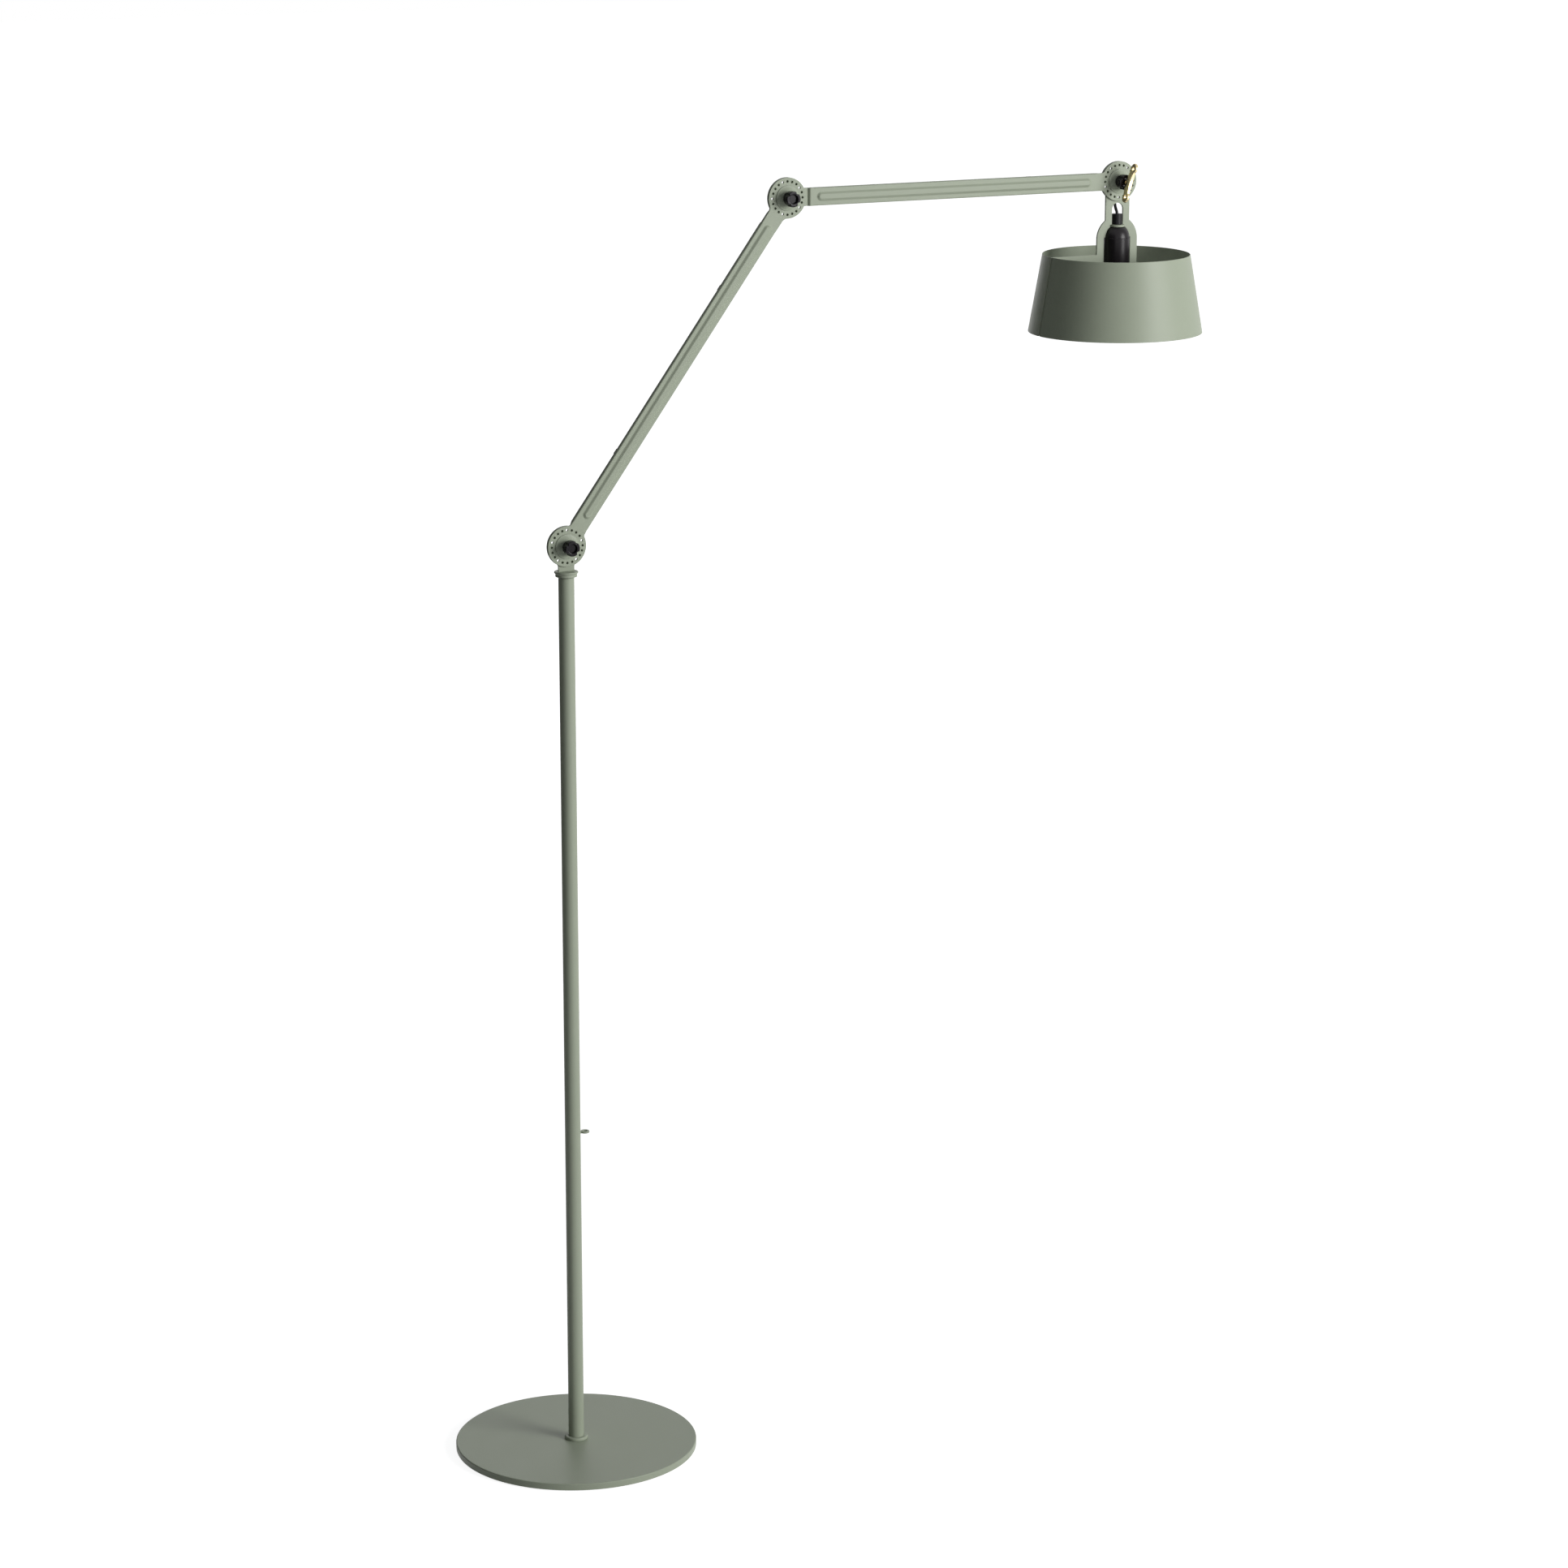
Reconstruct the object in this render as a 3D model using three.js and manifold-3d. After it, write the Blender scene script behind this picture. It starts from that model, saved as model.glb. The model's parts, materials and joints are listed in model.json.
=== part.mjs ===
// Floor lamp with two folding arms, flat hinge discs and a conical shade.
// Units are millimetres, +Z is up and +X is the side that the arms reach out to.
// The origin is on the floor, in the middle of the round base.
import * as THREE from "three";
import { mergeVertices } from "three/addons/utils/BufferGeometryUtils.js";
import Module from "manifold-3d";

const wasm = await Module();
wasm.setup();

// ---- Driving dimensions ----

// Clearance between pieces that touch or turn in each other.
const gap = 0.3;

// Base and pole.
const baseDiameter = 350;
const baseThickness = 10;
const baseEdgeRadius = 1.5;
const footHeight = 1.7;
const footDiameter = 16;
const footCount = 5;
const footCircleRadius = 156;
const footAngle = -10; // degrees, where the first foot stands
const coverDiameter = 44;
const poleDiameter = 22.4;
const poleWall = 1.5;
const pivotHeight = 1322; // first hinge above the top of the base
const footRingDiameter = 33.4;
const footRingHeight = 4.5;
const footRingBevel = 1.6;
const insertHeight = 32;
const baseBoltDiameter = 8;
const baseBoltHeadDiameter = 18;
const baseBoltHeadHeight = 5;
const baseBoltSocketWidth = 7;
const baseBoltSocketDepth = 3;
const baseBoltReach = 26; // length of the shank above the base
const baseWasherDiameter = 26;
const baseWasherThickness = 1.6;
const outletHeight = 60; // cord outlet above the top of the base
const outletBushDiameter = 8;
const outletFlangeDiameter = 13;
const outletFlangeThickness = 1.6;
const outletBushReach = 1; // how far the bush stands inside the pole
const eyeletHeight = 466; // above the top of the base
const eyeletReach = 18.8; // pole axis to the middle of the eyelet
const eyeletDiameter = 13.2;
const eyeletHoleDiameter = 6.6;
const eyeletThickness = 3;
const eyeletStemDiameter = 4;
const eyeletStemReach = 1.5; // how far the stem stands inside the pole
const eyeletStemInset = 0.6; // from the stem's end to the eyelet's hole

// Pole head, which turns in the top of the pole.
const collarDiameter = 30.6;
const collarHeight = 4;
const lipDiameter = 33.8;
const lipHeight = 3.6;
const lipBevel = 1.4;
const lipEdge = 0.8;
const collarTopBelowPivot = 35.4;
const bushWall = 1.6;
const bushLength = 42;
const bushFlangeThickness = 0.6;
const spigotLength = 40;
const tongueDepth = 6;
const headNeckWidth = 24;

// Sheet metal, hinge discs and their ring of index holes.
const sheetThickness = 3;
const discRadius = 28.7;
const indexCircleRadius = 23.2;
const indexHoleDiameter = 3.3;
const frontHoleCount = 20;
const rearHoleDiameter = 6;
const rearHoleCount = 5;

// Arms: pressed channels with a raised bead.
const lowerArmLength = 577; // hinge to hinge
const upperArmLength = 532;
const lowerArmAngle = 54; // degrees above level at rest
const armWidth = 25.4;
const channelDepth = 7;
const neckDepth = 5.4; // of the lower side walls beside the second hinge
const wallTaper = 6; // length over which a side wall falls to the sheet at its end
const wallStep = 1; // and from the channel's depth to the neck's
const beadWidth = 13.8;
const beadHeight = 2.4;
const beadSlope = 4.2; // width of the bead's sloping side
const beadEndFromPivot = 45.5;
const flangeClearance = 0.6; // between an arm's side walls and the disc behind its own
const foldClearance = 48.5; // where the lower arm's full depth stops, from the second hinge
const tiltClearance = 34; // where the upper arm's side walls stop, from the third hinge
const joggleStart = 33;
const joggleLength = 3.6;
const joggleOverlap = 2; // of the stepped strip over the flat ones
const neckFillet = 5;
const elbowFillet = 10;

// Hinge fastenings.
const boltDiameter = 7.8;
const boltHeadDiameter = 16;
const boltHeadHeight = 3.2;
const boltNeckWidth = 8;
const bellDiameter = 35.2;
const bellHeight = 4.2;
const bellWall = 1.2;
const bellTopDiameter = 19;
const bellLip = 0.8;
const bellRim = 0.3; // flat edge outside the curved wall
const bellCurve = 1.5; // power of the wall's rise towards the hub
const bellSlant = 0.5; // how much steeper the wall is inside
const knobHubDiameter = 18;
const knobHubLength = 5.2;
const knobHeadDiameter = 22;
const knobHeadLength = 10.5;
const knobBevel = 1;
const knobNotchRadius = 2.6;
const knobNotchCount = 4;
const knobNotchOutset = 0.5; // middle of a notch outside the head's edge
const knobNotchAngle = -38; // degrees, where the first notch of a knob stands
const knobRecessDiameter = 13.6;
const knobRecessFloorDiameter = 11.2;
const knobRecessDepth = 4;
const insertDiameter = 11.4;
const knobInsertLength = 10;
const boltEngagement = 9.6; // length of bolt inside a knob
const clipLength = 8;
const clipThickness = 0.8;
const clipPlaces = [0.25, 0.72]; // shares of an arm's length

// Wing nut on the third hinge.
const wingEarSpacing = 41.4; // between the holes of the two ears
const wingEarRadius = 7.7;
const wingHoleInset = 0.5; // from an ear's middle to its hole, towards the hub
const wingHoleDiameter = 5.2;
const wingEndThickness = 3.7;
const wingMiddleThickness = 7.2;
const wingBulge = 1.5; // power of the thickness towards the middle
const wingWaistDepth = 11;
const wingSweep = 2.4; // how far the ears stand ahead of the middle
const wingStandOff = 2.4; // from the knob's front to the wings
const wingHubDiameter = 8.4;
const wingTilt = 72; // degrees above level
const wingBoltReach = 7.5; // of the bolt's tip ahead of the knob
const tipDiameter = 4.8;

// Shade bracket, lampholder and shade, measured down from the third hinge.
const bracketNeckWidth = 39.4;
const bracketWidth = 66.6;
const bracketShoulderDrop = 83.5;
const bracketBottomDrop = 124;
const legRounding = 3;
const slotWidth = 18;
const slotTopDrop = 31.5;
const sweepReach = 36; // how far the curve under the fin draws out beside the bracket
const sweepDrop = 4;
const sweepFoot = 6; // where that curve ends, inside the bracket's edge
const tabTopDrop = 62.6;
const tabThickness = 3.4;
const tabDiameter = 22.6;
const gripDiameter = 15.2;
const gripTopDrop = 47.2;
const gripEdge = 0.8;
const nippleDiameter = 9.6;
const nippleLength = 5;
const holderDiameter = 38;
const holderTopDiameter = 21;
const holderDomeHeight = 14.8;
const holderSkirtLength = 41;
const holderWall = 2;
const domeBulge = 2.2; // how far the dome's curve is pulled in from the skirt
const domeRise = 0.14; // share of the dome's height where it starts to fall
const recessClearance = 0.6;
const windowSideClearance = 2.6;
const shadeTopDrop = 105.4;
const shadeHeight = 113.1;
const shadeTopDiameter = 215;
const shadeBottomDiameter = 254;
const shadeWall = 1;
const finReach = 1; // how far the fin's edge stands out of the shade's seam
const finWidth = 15; // at its lower end
const finEndClearance = 2; // from the fin's end to the shade's lower rim
const hemDepth = 11;
const hemWall = 1;
const rivetDiameter = 4;
const rivetHeadDiameter = 7;
const rivetHeadHeight = 1.4;
const rivetCount = 3;
const rivetInset = 6.6; // from the shade's inside to a rivet

// Inside of the lampholder, and the bulb.
const coreTopInset = 2; // below the joint of the lampholder's two parts
const shellDrop = 6;
const shellLength = 26;
const shellWall = 0.6;
const shellEndClearance = 1;
const contactDiameter = 4.6;
const contactRise = 1.2;
const contactReach = 2.2;
const contactGap = 1.7; // from the contact to the bulb's cap
const bulbDiameter = 60;
const bulbCapDiameter = 26;
const bulbCapLength = 23;
const bulbCapEdge = 1;
const bulbCapCone = 4;
const bulbTipDiameter = 6;
const bulbLength = 84; // glass below its cap
const bulbNeckDiameter = 30;
const bulbNeckLength = 14;
const bulbShoulderAngle = 38; // degrees, where the globe gives way to the neck

// Cable, which runs inside the pole and behind the plates.
const cableDiameter = 4.2;
const plateLoopReach = 21; // where a hinge's cable loop ends on a flat plate
const channelLoopReach = 44; // and inside an arm's channel
const foldCableInset = 6; // from the end of the lower arm's full depth
const joggleCableInset = 14; // from the end of the upper arm's step
const poleCableGap = 6; // below the head's spigot

// ---- Values that follow from the dimensions ----

const baseBottom = footHeight + gap;
const baseTop = baseBottom + baseThickness;
const pivotZ = baseTop + pivotHeight;
const poleRadius = poleDiameter / 2;
const poleBore = poleRadius - poleWall;
const plateBack = sheetThickness / 2;
const rearFront = -sheetThickness / 2;
const discBack = rearFront - gap;
const discFront = discBack - sheetThickness;
const halfArm = armWidth / 2;
const boltRadius = boltDiameter / 2;
const boreRadius = boltRadius + gap;
const bellFront = discFront - gap - bellHeight;
const knobBack = bellFront - gap;
const knobFront = knobBack - knobHubLength - knobHeadLength;
const cableRadius = cableDiameter / 2;
const channelCableY = discBack + gap + cableRadius;
const plateCableY = plateBack + gap + cableRadius;
const boltHeadBack = plateBack + gap + boltHeadHeight;
const overBoltY = boltHeadBack + gap + cableRadius;
const collarTop = -collarTopBelowPivot;
const collarBottom = collarTop - lipHeight - collarHeight;
const poleTop = pivotZ + collarBottom - gap - bushFlangeThickness - gap;
const spigotRadius = poleBore - gap - bushWall - gap;
const spigotBottom = collarBottom - bushFlangeThickness - 2 * gap - spigotLength;
const boltPocketDepth = baseBoltHeadHeight + baseWasherThickness + 2 * gap;
const flangeStart = Math.sqrt((discRadius + flangeClearance) ** 2 - (halfArm - sheetThickness) ** 2);
const foldStop = foldClearance + foldCableInset; // where the lower arm's cable ends, from the second hinge
const joggleStop = joggleStart + joggleLength + joggleCableInset; // where the upper arm's cable starts
const holderTop = -(tabTopDrop + tabThickness + gap);
const domeBottom = holderTop - holderDomeHeight;
const skirtBottom = domeBottom - holderSkirtLength;
const shadeTop = -shadeTopDrop;
const shadeBottom = shadeTop - shadeHeight;
const shellTop = domeBottom - shellDrop;
const shellBottom = shellTop - shellLength;
const shellRadius = bulbCapDiameter / 2 + gap + shellWall;
const slitHalf = plateBack + gap;
const hemOuter = slitHalf + hemWall;

// ---- Colours ----

const sage = 0xa0a997;
const black = 0x1b1b1d;
const steel = 0xb4b6b8;
const brass = 0xb8924a;
const white = 0xeeeae0;

// ---- Small helpers ----

const degrees = (value) => (value * Math.PI) / 180;

function finishOf(color, roughness, metalness) {
  return new THREE.MeshStandardMaterial({ color, roughness, metalness });
}

// Keeps only positions, joins equal corners and drops triangles that have no area.
function cleaned(geometry) {
  const source = geometry.index ? geometry.toNonIndexed() : geometry;
  source.deleteAttribute("normal");
  source.deleteAttribute("uv");
  const merged = mergeVertices(source, 1e-5);
  const index = merged.index.array;
  const kept = [];
  for (let i = 0; i < index.length; i += 3) {
    const [a, b, c] = [index[i], index[i + 1], index[i + 2]];
    if (a !== b && b !== c && c !== a) {
      kept.push(a, b, c);
    }
  }
  merged.setIndex(kept);
  return merged;
}

function toManifold(geometry) {
  const clean = cleaned(geometry);
  const vertProperties = new Float32Array(clean.attributes.position.array);
  const triVerts = new Uint32Array(clean.index.array);
  return new wasm.Manifold(new wasm.Mesh({ numProp: 3, vertProperties, triVerts }));
}

function toGeometry(manifold) {
  const mesh = manifold.getMesh();
  const geometry = new THREE.BufferGeometry();
  geometry.setAttribute("position", new THREE.BufferAttribute(mesh.vertProperties, 3));
  geometry.setIndex(new THREE.BufferAttribute(mesh.triVerts, 1));
  return cleaned(geometry);
}

function joined(...geometries) {
  const solids = geometries.map(toManifold);
  return toGeometry(solids.reduce((sum, solid) => sum.add(solid)));
}

function cut(geometry, ...tools) {
  const start = toManifold(geometry);
  return toGeometry(tools.reduce((rest, tool) => rest.subtract(toManifold(tool)), start));
}

function common(first, second) {
  return toGeometry(toManifold(first).intersect(toManifold(second)));
}

// Points on an arc from one angle to another, both in degrees.
function arcPoints(x, y, radius, from, to, steps) {
  const points = [];
  for (let i = 0; i <= steps; i += 1) {
    const angle = degrees(from + ((to - from) * i) / steps);
    points.push(new THREE.Vector2(x + radius * Math.cos(angle), y + radius * Math.sin(angle)));
  }
  return points;
}

// A circle as a closed list of corners.
function circlePoints(x, y, radius, steps) {
  return arcPoints(x, y, radius, 0, 360, steps).slice(0, -1);
}

function pairs(list) {
  return list.map(([x, y]) => new THREE.Vector2(x, y));
}

// A flat plate drawn in X and Z that fills the depths from yFront to yBack. A bevel is as wide
// as it is deep, unless its width is given.
function plate(outline, holes, yFront, yBack, bevel = 0, bevelWidth = bevel) {
  const shape = new THREE.Shape(outline);
  shape.holes = holes.map((points) => new THREE.Path(points));
  const settings = { depth: yBack - yFront, bevelEnabled: false, steps: 1 };
  if (bevel > 0) {
    settings.bevelEnabled = true;
    settings.bevelThickness = bevel;
    settings.bevelSize = bevelWidth;
    settings.bevelOffset = -bevelWidth;
    settings.bevelSegments = 1;
    settings.depth = yBack - yFront - 2 * bevel;
  }
  const geometry = new THREE.ExtrudeGeometry(shape, settings);
  geometry.rotateX(Math.PI / 2);
  geometry.translate(0, yBack - bevel, 0);
  return geometry;
}

// A box between two corners.
function block(low, high) {
  const size = high.map((value, i) => value - low[i]);
  const geometry = new THREE.BoxGeometry(...size);
  geometry.translate(...high.map((value, i) => (value + low[i]) / 2));
  return geometry;
}

// A turned piece about Z. The profile holds [radius, height] pairs that run
// round the section with the outer side going up.
function turned(profile, sides) {
  const geometry = new THREE.LatheGeometry(pairs(profile), sides);
  geometry.rotateX(Math.PI / 2);
  return geometry;
}

// A closed ring section, for a turned piece with a bore.
function ringSection(profile) {
  return [...profile, profile[0]];
}

// A turned piece about Y: heights of the profile run forward, towards -Y, from yBack.
function turnedForward(profile, yBack, sides) {
  const geometry = turned(profile, sides);
  geometry.rotateX(Math.PI / 2);
  geometry.translate(0, yBack, 0);
  return geometry;
}

function rod(radius, length, sides) {
  return [[0, 0], [radius, 0], [radius, length], [0, length]];
}

// Section of a round head with a low dome, from its top down.
function domedHead(radius, height) {
  return [[0, 0], [radius * 0.6, height * 0.13], [radius, height * 0.7], [radius, height], [0, height]];
}

function cylinderUp(radius, low, high, sides) {
  const geometry = turned(rod(radius, high - low), sides);
  geometry.translate(0, 0, low);
  return geometry;
}

function cylinderForward(radius, yBack, length, sides) {
  return turnedForward(rod(radius, length), yBack, sides);
}

// A round cable through points chosen by hand, with a few equal steps between each two.
function cableAlong(points, stepsPerSpan = 2) {
  const curve = new THREE.CatmullRomCurve3(points.map((p) => new THREE.Vector3(...p)), false, "centripetal");
  curve.getUtoTmapping = (u) => u;
  const section = new THREE.Shape(circlePoints(0, 0, cableRadius, 8));
  const steps = (points.length - 1) * stepsPerSpan;
  return new THREE.ExtrudeGeometry(section, { steps, bevelEnabled: false, extrudePath: curve });
}

const lamp = new THREE.Group();
const poleHead = new THREE.Group();
const lowerArm = new THREE.Group();
const upperArm = new THREE.Group();
const shadeHead = new THREE.Group();

function addPiece(group, name, geometry, material) {
  const mesh = new THREE.Mesh(cleaned(geometry), material);
  mesh.name = name;
  group.add(mesh);
  return mesh;
}

// ---- Outlines of the hinge plates ----

// The index holes stand on a circle, with one of them at the given angle.
function indexHoles(x, z, diameter, count, startAngle) {
  const holes = [];
  for (let i = 0; i < count; i += 1) {
    const angle = degrees(startAngle + (360 * i) / count);
    const holeX = x + indexCircleRadius * Math.cos(angle);
    const holeZ = z + indexCircleRadius * Math.sin(angle);
    holes.push(circlePoints(holeX, holeZ, diameter / 2, diameter > indexHoleDiameter ? 10 : 6));
  }
  return holes;
}

function roundBore(x, z) {
  return circlePoints(x, z, boreRadius, 14);
}

function squareBore(x, z) {
  const half = boltNeckWidth / 2 + gap;
  return pairs([[x - half, z - half], [x + half, z - half], [x + half, z + half], [x - half, z + half]]);
}

// Where a straight side at half width w meets a disc through a fillet.
function filletPlace(radius, halfWidth, fillet) {
  const reach = Math.sqrt((radius + fillet) ** 2 - (halfWidth + fillet) ** 2);
  const angle = (Math.atan2(halfWidth + fillet, reach) * 180) / Math.PI;
  return { reach, angle };
}

// The outline of a disc at x = 0 with two fillets that lead to a strip along +X.
// It runs from the lower side, clockwise round the disc, to the upper side.
function discEnd(halfWidth, fillet) {
  const { reach, angle } = filletPlace(discRadius, halfWidth, fillet);
  const upper = arcPoints(reach, halfWidth + fillet, fillet, -90, angle - 180, 4);
  const disc = arcPoints(0, 0, discRadius, angle, 360 - angle, 30);
  const lower = arcPoints(reach, -halfWidth - fillet, fillet, 180 - angle, 90, 4);
  return [...upper, ...disc.slice(1, -1), ...lower];
}

// The same outline turned round, for a disc at x = length.
function farDiscEnd(length, halfWidth, fillet) {
  return discEnd(halfWidth, fillet).map((p) => new THREE.Vector2(length - p.x, -p.y));
}

// ---- Base and pole ----

// Flat rubber feet on a circle, and a disc of the same height that closes the bolt's recess.
function makeFeet() {
  const rubber = () => finishOf(black, 0.95, 0);
  for (let i = 0; i < footCount; i += 1) {
    const angle = degrees(footAngle + (360 * i) / footCount);
    const disc = turned(rod(footDiameter / 2, footHeight), 18);
    const foot = addPiece(lamp, `base_foot_${i + 1}`, disc, rubber());
    foot.position.set(footCircleRadius * Math.cos(angle), footCircleRadius * Math.sin(angle), 0);
  }
  addPiece(lamp, "base_bolt_cover", turned(rod(coverDiameter / 2, footHeight), 24), rubber());
}

function makeBasePlate() {
  const radius = baseDiameter / 2;
  const bore = baseBoltDiameter / 2 + gap;
  const pocket = baseWasherDiameter / 2 + gap;
  const edge = baseEdgeRadius;
  const section = [
    [pocket, baseBottom],
    [radius - edge, baseBottom],
    [radius, baseBottom + edge],
    [radius, baseTop - edge],
    [radius - edge, baseTop],
    [bore, baseTop],
    [bore, baseBottom + boltPocketDepth],
    [pocket, baseBottom + boltPocketDepth],
  ];
  addPiece(lamp, "base_plate", turned(ringSection(section), 60), finishOf(sage, 0.55, 0.2));
}

function makeBaseBolt() {
  const headRadius = baseBoltHeadDiameter / 2;
  const headTop = baseBottom + baseBoltHeadHeight;
  const head = turned([[0, baseBottom], [headRadius, baseBottom], [headRadius, headTop], [0, headTop]], 18);
  const shank = cylinderUp(baseBoltDiameter / 2, headTop - 1, baseTop + baseBoltReach, 12);
  const hexSocket = cylinderUp(baseBoltSocketWidth / 2, baseBottom - 1, baseBottom + baseBoltSocketDepth, 6);
  addPiece(lamp, "base_bolt", cut(joined(head, shank), hexSocket), finishOf(steel, 0.35, 1));
  const low = headTop + gap;
  const bore = baseBoltDiameter / 2 + gap;
  const outer = baseWasherDiameter / 2;
  const high = low + baseWasherThickness;
  const washer = turned(ringSection([[bore, low], [outer, low], [outer, high], [bore, high]]), 18);
  addPiece(lamp, "base_washer", washer, finishOf(steel, 0.4, 1));
}

function makePoleFoot() {
  const inner = poleRadius + gap;
  const outer = footRingDiameter / 2;
  const low = baseTop + gap;
  const high = low + footRingHeight;
  const section = [
    [inner, low],
    [outer, low],
    [outer, high - footRingBevel],
    [outer - footRingBevel, high],
    [inner, high],
  ];
  addPiece(lamp, "pole_foot_ring", turned(ringSection(section), 28), finishOf(sage, 0.55, 0.2));
  const bore = baseBoltDiameter / 2 + gap;
  const plug = poleBore - gap;
  const top = low + insertHeight;
  const insert = [[bore, low], [plug, low], [plug, top], [bore, top]];
  addPiece(lamp, "pole_foot_insert", turned(ringSection(insert), 20), finishOf(steel, 0.5, 1));
}

function makePoleTube() {
  const low = baseTop + gap;
  const section = [[poleBore, low], [poleRadius, low], [poleRadius, poleTop], [poleBore, poleTop]];
  const tube = turned(ringSection(section), 28);
  const outletHole = cylinderForward(outletBushDiameter / 2 + gap, poleRadius + 2, poleRadius, 12);
  outletHole.translate(0, 0, baseTop + outletHeight);
  const stemHole = cylinderUp(eyeletStemDiameter / 2 + gap, 0, poleRadius + 2, 10);
  stemHole.rotateY(Math.PI / 2);
  stemHole.translate(0, 0, baseTop + eyeletHeight);
  addPiece(lamp, "pole_tube", cut(tube, outletHole, stemHole), finishOf(sage, 0.5, 0.2));
}

function makeCordOutlet() {
  const bore = cableRadius + gap;
  const bush = outletBushDiameter / 2;
  const flange = outletFlangeDiameter / 2;
  const flangeBack = poleRadius + gap + outletFlangeThickness;
  const inside = poleBore - outletBushReach;
  const depth = flangeBack - inside;
  const section = [
    [bore, 0],
    [flange, 0],
    [flange, outletFlangeThickness],
    [bush, outletFlangeThickness],
    [bush, depth],
    [bore, depth],
  ];
  const grommet = turnedForward(ringSection(section), flangeBack, 14);
  grommet.translate(0, 0, baseTop + outletHeight);
  addPiece(lamp, "cord_outlet_grommet", grommet, finishOf(black, 0.8, 0));
}

function makeEyelet() {
  const outer = circlePoints(eyeletReach, 0, eyeletDiameter / 2, 20);
  const hole = circlePoints(eyeletReach, 0, eyeletHoleDiameter / 2, 14);
  const shape = new THREE.Shape(outer);
  shape.holes = [new THREE.Path(hole)];
  const ring = new THREE.ExtrudeGeometry(shape, { depth: eyeletThickness, bevelEnabled: false });
  ring.translate(0, 0, -eyeletThickness / 2);
  const stemStart = poleBore - eyeletStemReach;
  const stemEnd = eyeletReach - eyeletHoleDiameter / 2 - eyeletStemInset;
  const stem = cylinderUp(eyeletStemDiameter / 2, stemStart, stemEnd, 10);
  stem.rotateY(Math.PI / 2);
  const poleSide = cylinderUp(poleRadius + gap, -eyeletThickness, eyeletThickness, 32);
  const eyelet = joined(cut(ring, poleSide), stem);
  eyelet.translate(0, 0, baseTop + eyeletHeight);
  addPiece(lamp, "cable_eyelet", eyelet, finishOf(sage, 0.5, 0.2));
}

function makePoleBush() {
  const inner = spigotRadius + gap;
  const outer = poleBore - gap;
  const flangeTop = poleTop + gap + bushFlangeThickness;
  const low = poleTop + gap - bushLength;
  const section = [
    [inner, low],
    [outer, low],
    [outer, poleTop + gap],
    [poleRadius, poleTop + gap],
    [poleRadius, flangeTop],
    [inner, flangeTop],
  ];
  addPiece(lamp, "pole_top_bush", turned(ringSection(section), 24), finishOf(black, 0.6, 0));
}

function makePoleCable() {
  const outletZ = baseTop + outletHeight;
  const top = pivotZ + spigotBottom - poleCableGap;
  const points = [
    [0, poleRadius, outletZ],
    [0, poleBore - 1.5, outletZ],
    [0, 4.6, outletZ + 2.2],
    [0, 1.8, outletZ + 8],
    [0, 0.4, outletZ + 20],
    [0, 0, outletZ + 45],
    [0, 0, top - 60],
    [0, 0.8, top - 36],
    [0, plateCableY - 0.8, top - 12],
    [0, plateCableY, top],
  ];
  addPiece(lamp, "cable_in_pole", cableAlong(points, 2), finishOf(black, 0.7, 0));
}

// ---- Hinge fastenings, each drawn about the Y axis of its hinge ----

// The shank ends at the depth shankFront, and a long bolt has a thinner tip for the wing nut.
function hingeBolt(shankFront, hasTip) {
  const headFront = boltHeadBack - boltHeadHeight;
  const dome = turnedForward(domedHead(boltHeadDiameter / 2, boltHeadHeight), boltHeadBack, 18);
  const start = headFront + 0.5;
  const shank = cylinderForward(boltRadius, start, start - shankFront, 14);
  const half = boltNeckWidth / 2;
  const neck = block([-half, rearFront + gap, -half], [half, start, half]);
  const parts = [dome, shank, neck];
  if (hasTip) {
    const tipStart = shankFront + 1;
    parts.push(cylinderForward(tipDiameter / 2, tipStart, tipStart - knobFront + wingBoltReach, 10));
  }
  return joined(...parts);
}

function bellWasher() {
  const outer = bellDiameter / 2;
  const top = bellTopDiameter / 2;
  const rise = bellHeight - bellLip;
  const outside = [];
  const inside = [];
  const steps = 3;
  for (let i = 0; i <= steps; i += 1) {
    const t = i / steps;
    const radius = outer - bellRim - (outer - bellRim - top) * t;
    const height = bellLip + rise * t ** bellCurve;
    outside.push([radius, height]);
    inside.unshift([radius - bellRim - bellSlant * t, height - bellWall]);
  }
  inside[inside.length - 1] = [outer - bellWall - bellRim, 0];
  const section = [
    [outer, 0],
    [outer, bellLip * 0.7],
    ...outside,
    [boreRadius, bellHeight],
    [boreRadius, bellHeight - bellWall],
    ...inside,
  ];
  return turnedForward(ringSection(section), discFront - gap, 26);
}

// Outline of a knob head: a circle with round notches cut into its edge.
function notchedOutline() {
  const radius = knobHeadDiameter / 2;
  const centre = radius + knobNotchOutset;
  const half = Math.acos((radius ** 2 + centre ** 2 - knobNotchRadius ** 2) / (2 * radius * centre));
  const halfAngle = (half * 180) / Math.PI;
  const pitch = 360 / knobNotchCount;
  const points = [];
  for (let i = 0; i < knobNotchCount; i += 1) {
    const middle = knobNotchAngle + pitch * i;
    const x = centre * Math.cos(degrees(middle));
    const z = centre * Math.sin(degrees(middle));
    const startX = radius * Math.cos(degrees(middle - halfAngle));
    const startZ = radius * Math.sin(degrees(middle - halfAngle));
    const entry = (Math.atan2(startZ - z, startX - x) * 180) / Math.PI;
    const opening = ((middle + 180 - entry) % 360 + 360) % 360;
    const turn = opening > 180 ? opening - 360 : opening;
    points.push(...arcPoints(x, z, knobNotchRadius, entry, entry + 2 * turn, 3));
    const next = middle + pitch - halfAngle;
    points.push(...arcPoints(0, 0, radius, middle + halfAngle, next, 5).slice(1, -1));
  }
  return points;
}

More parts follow.
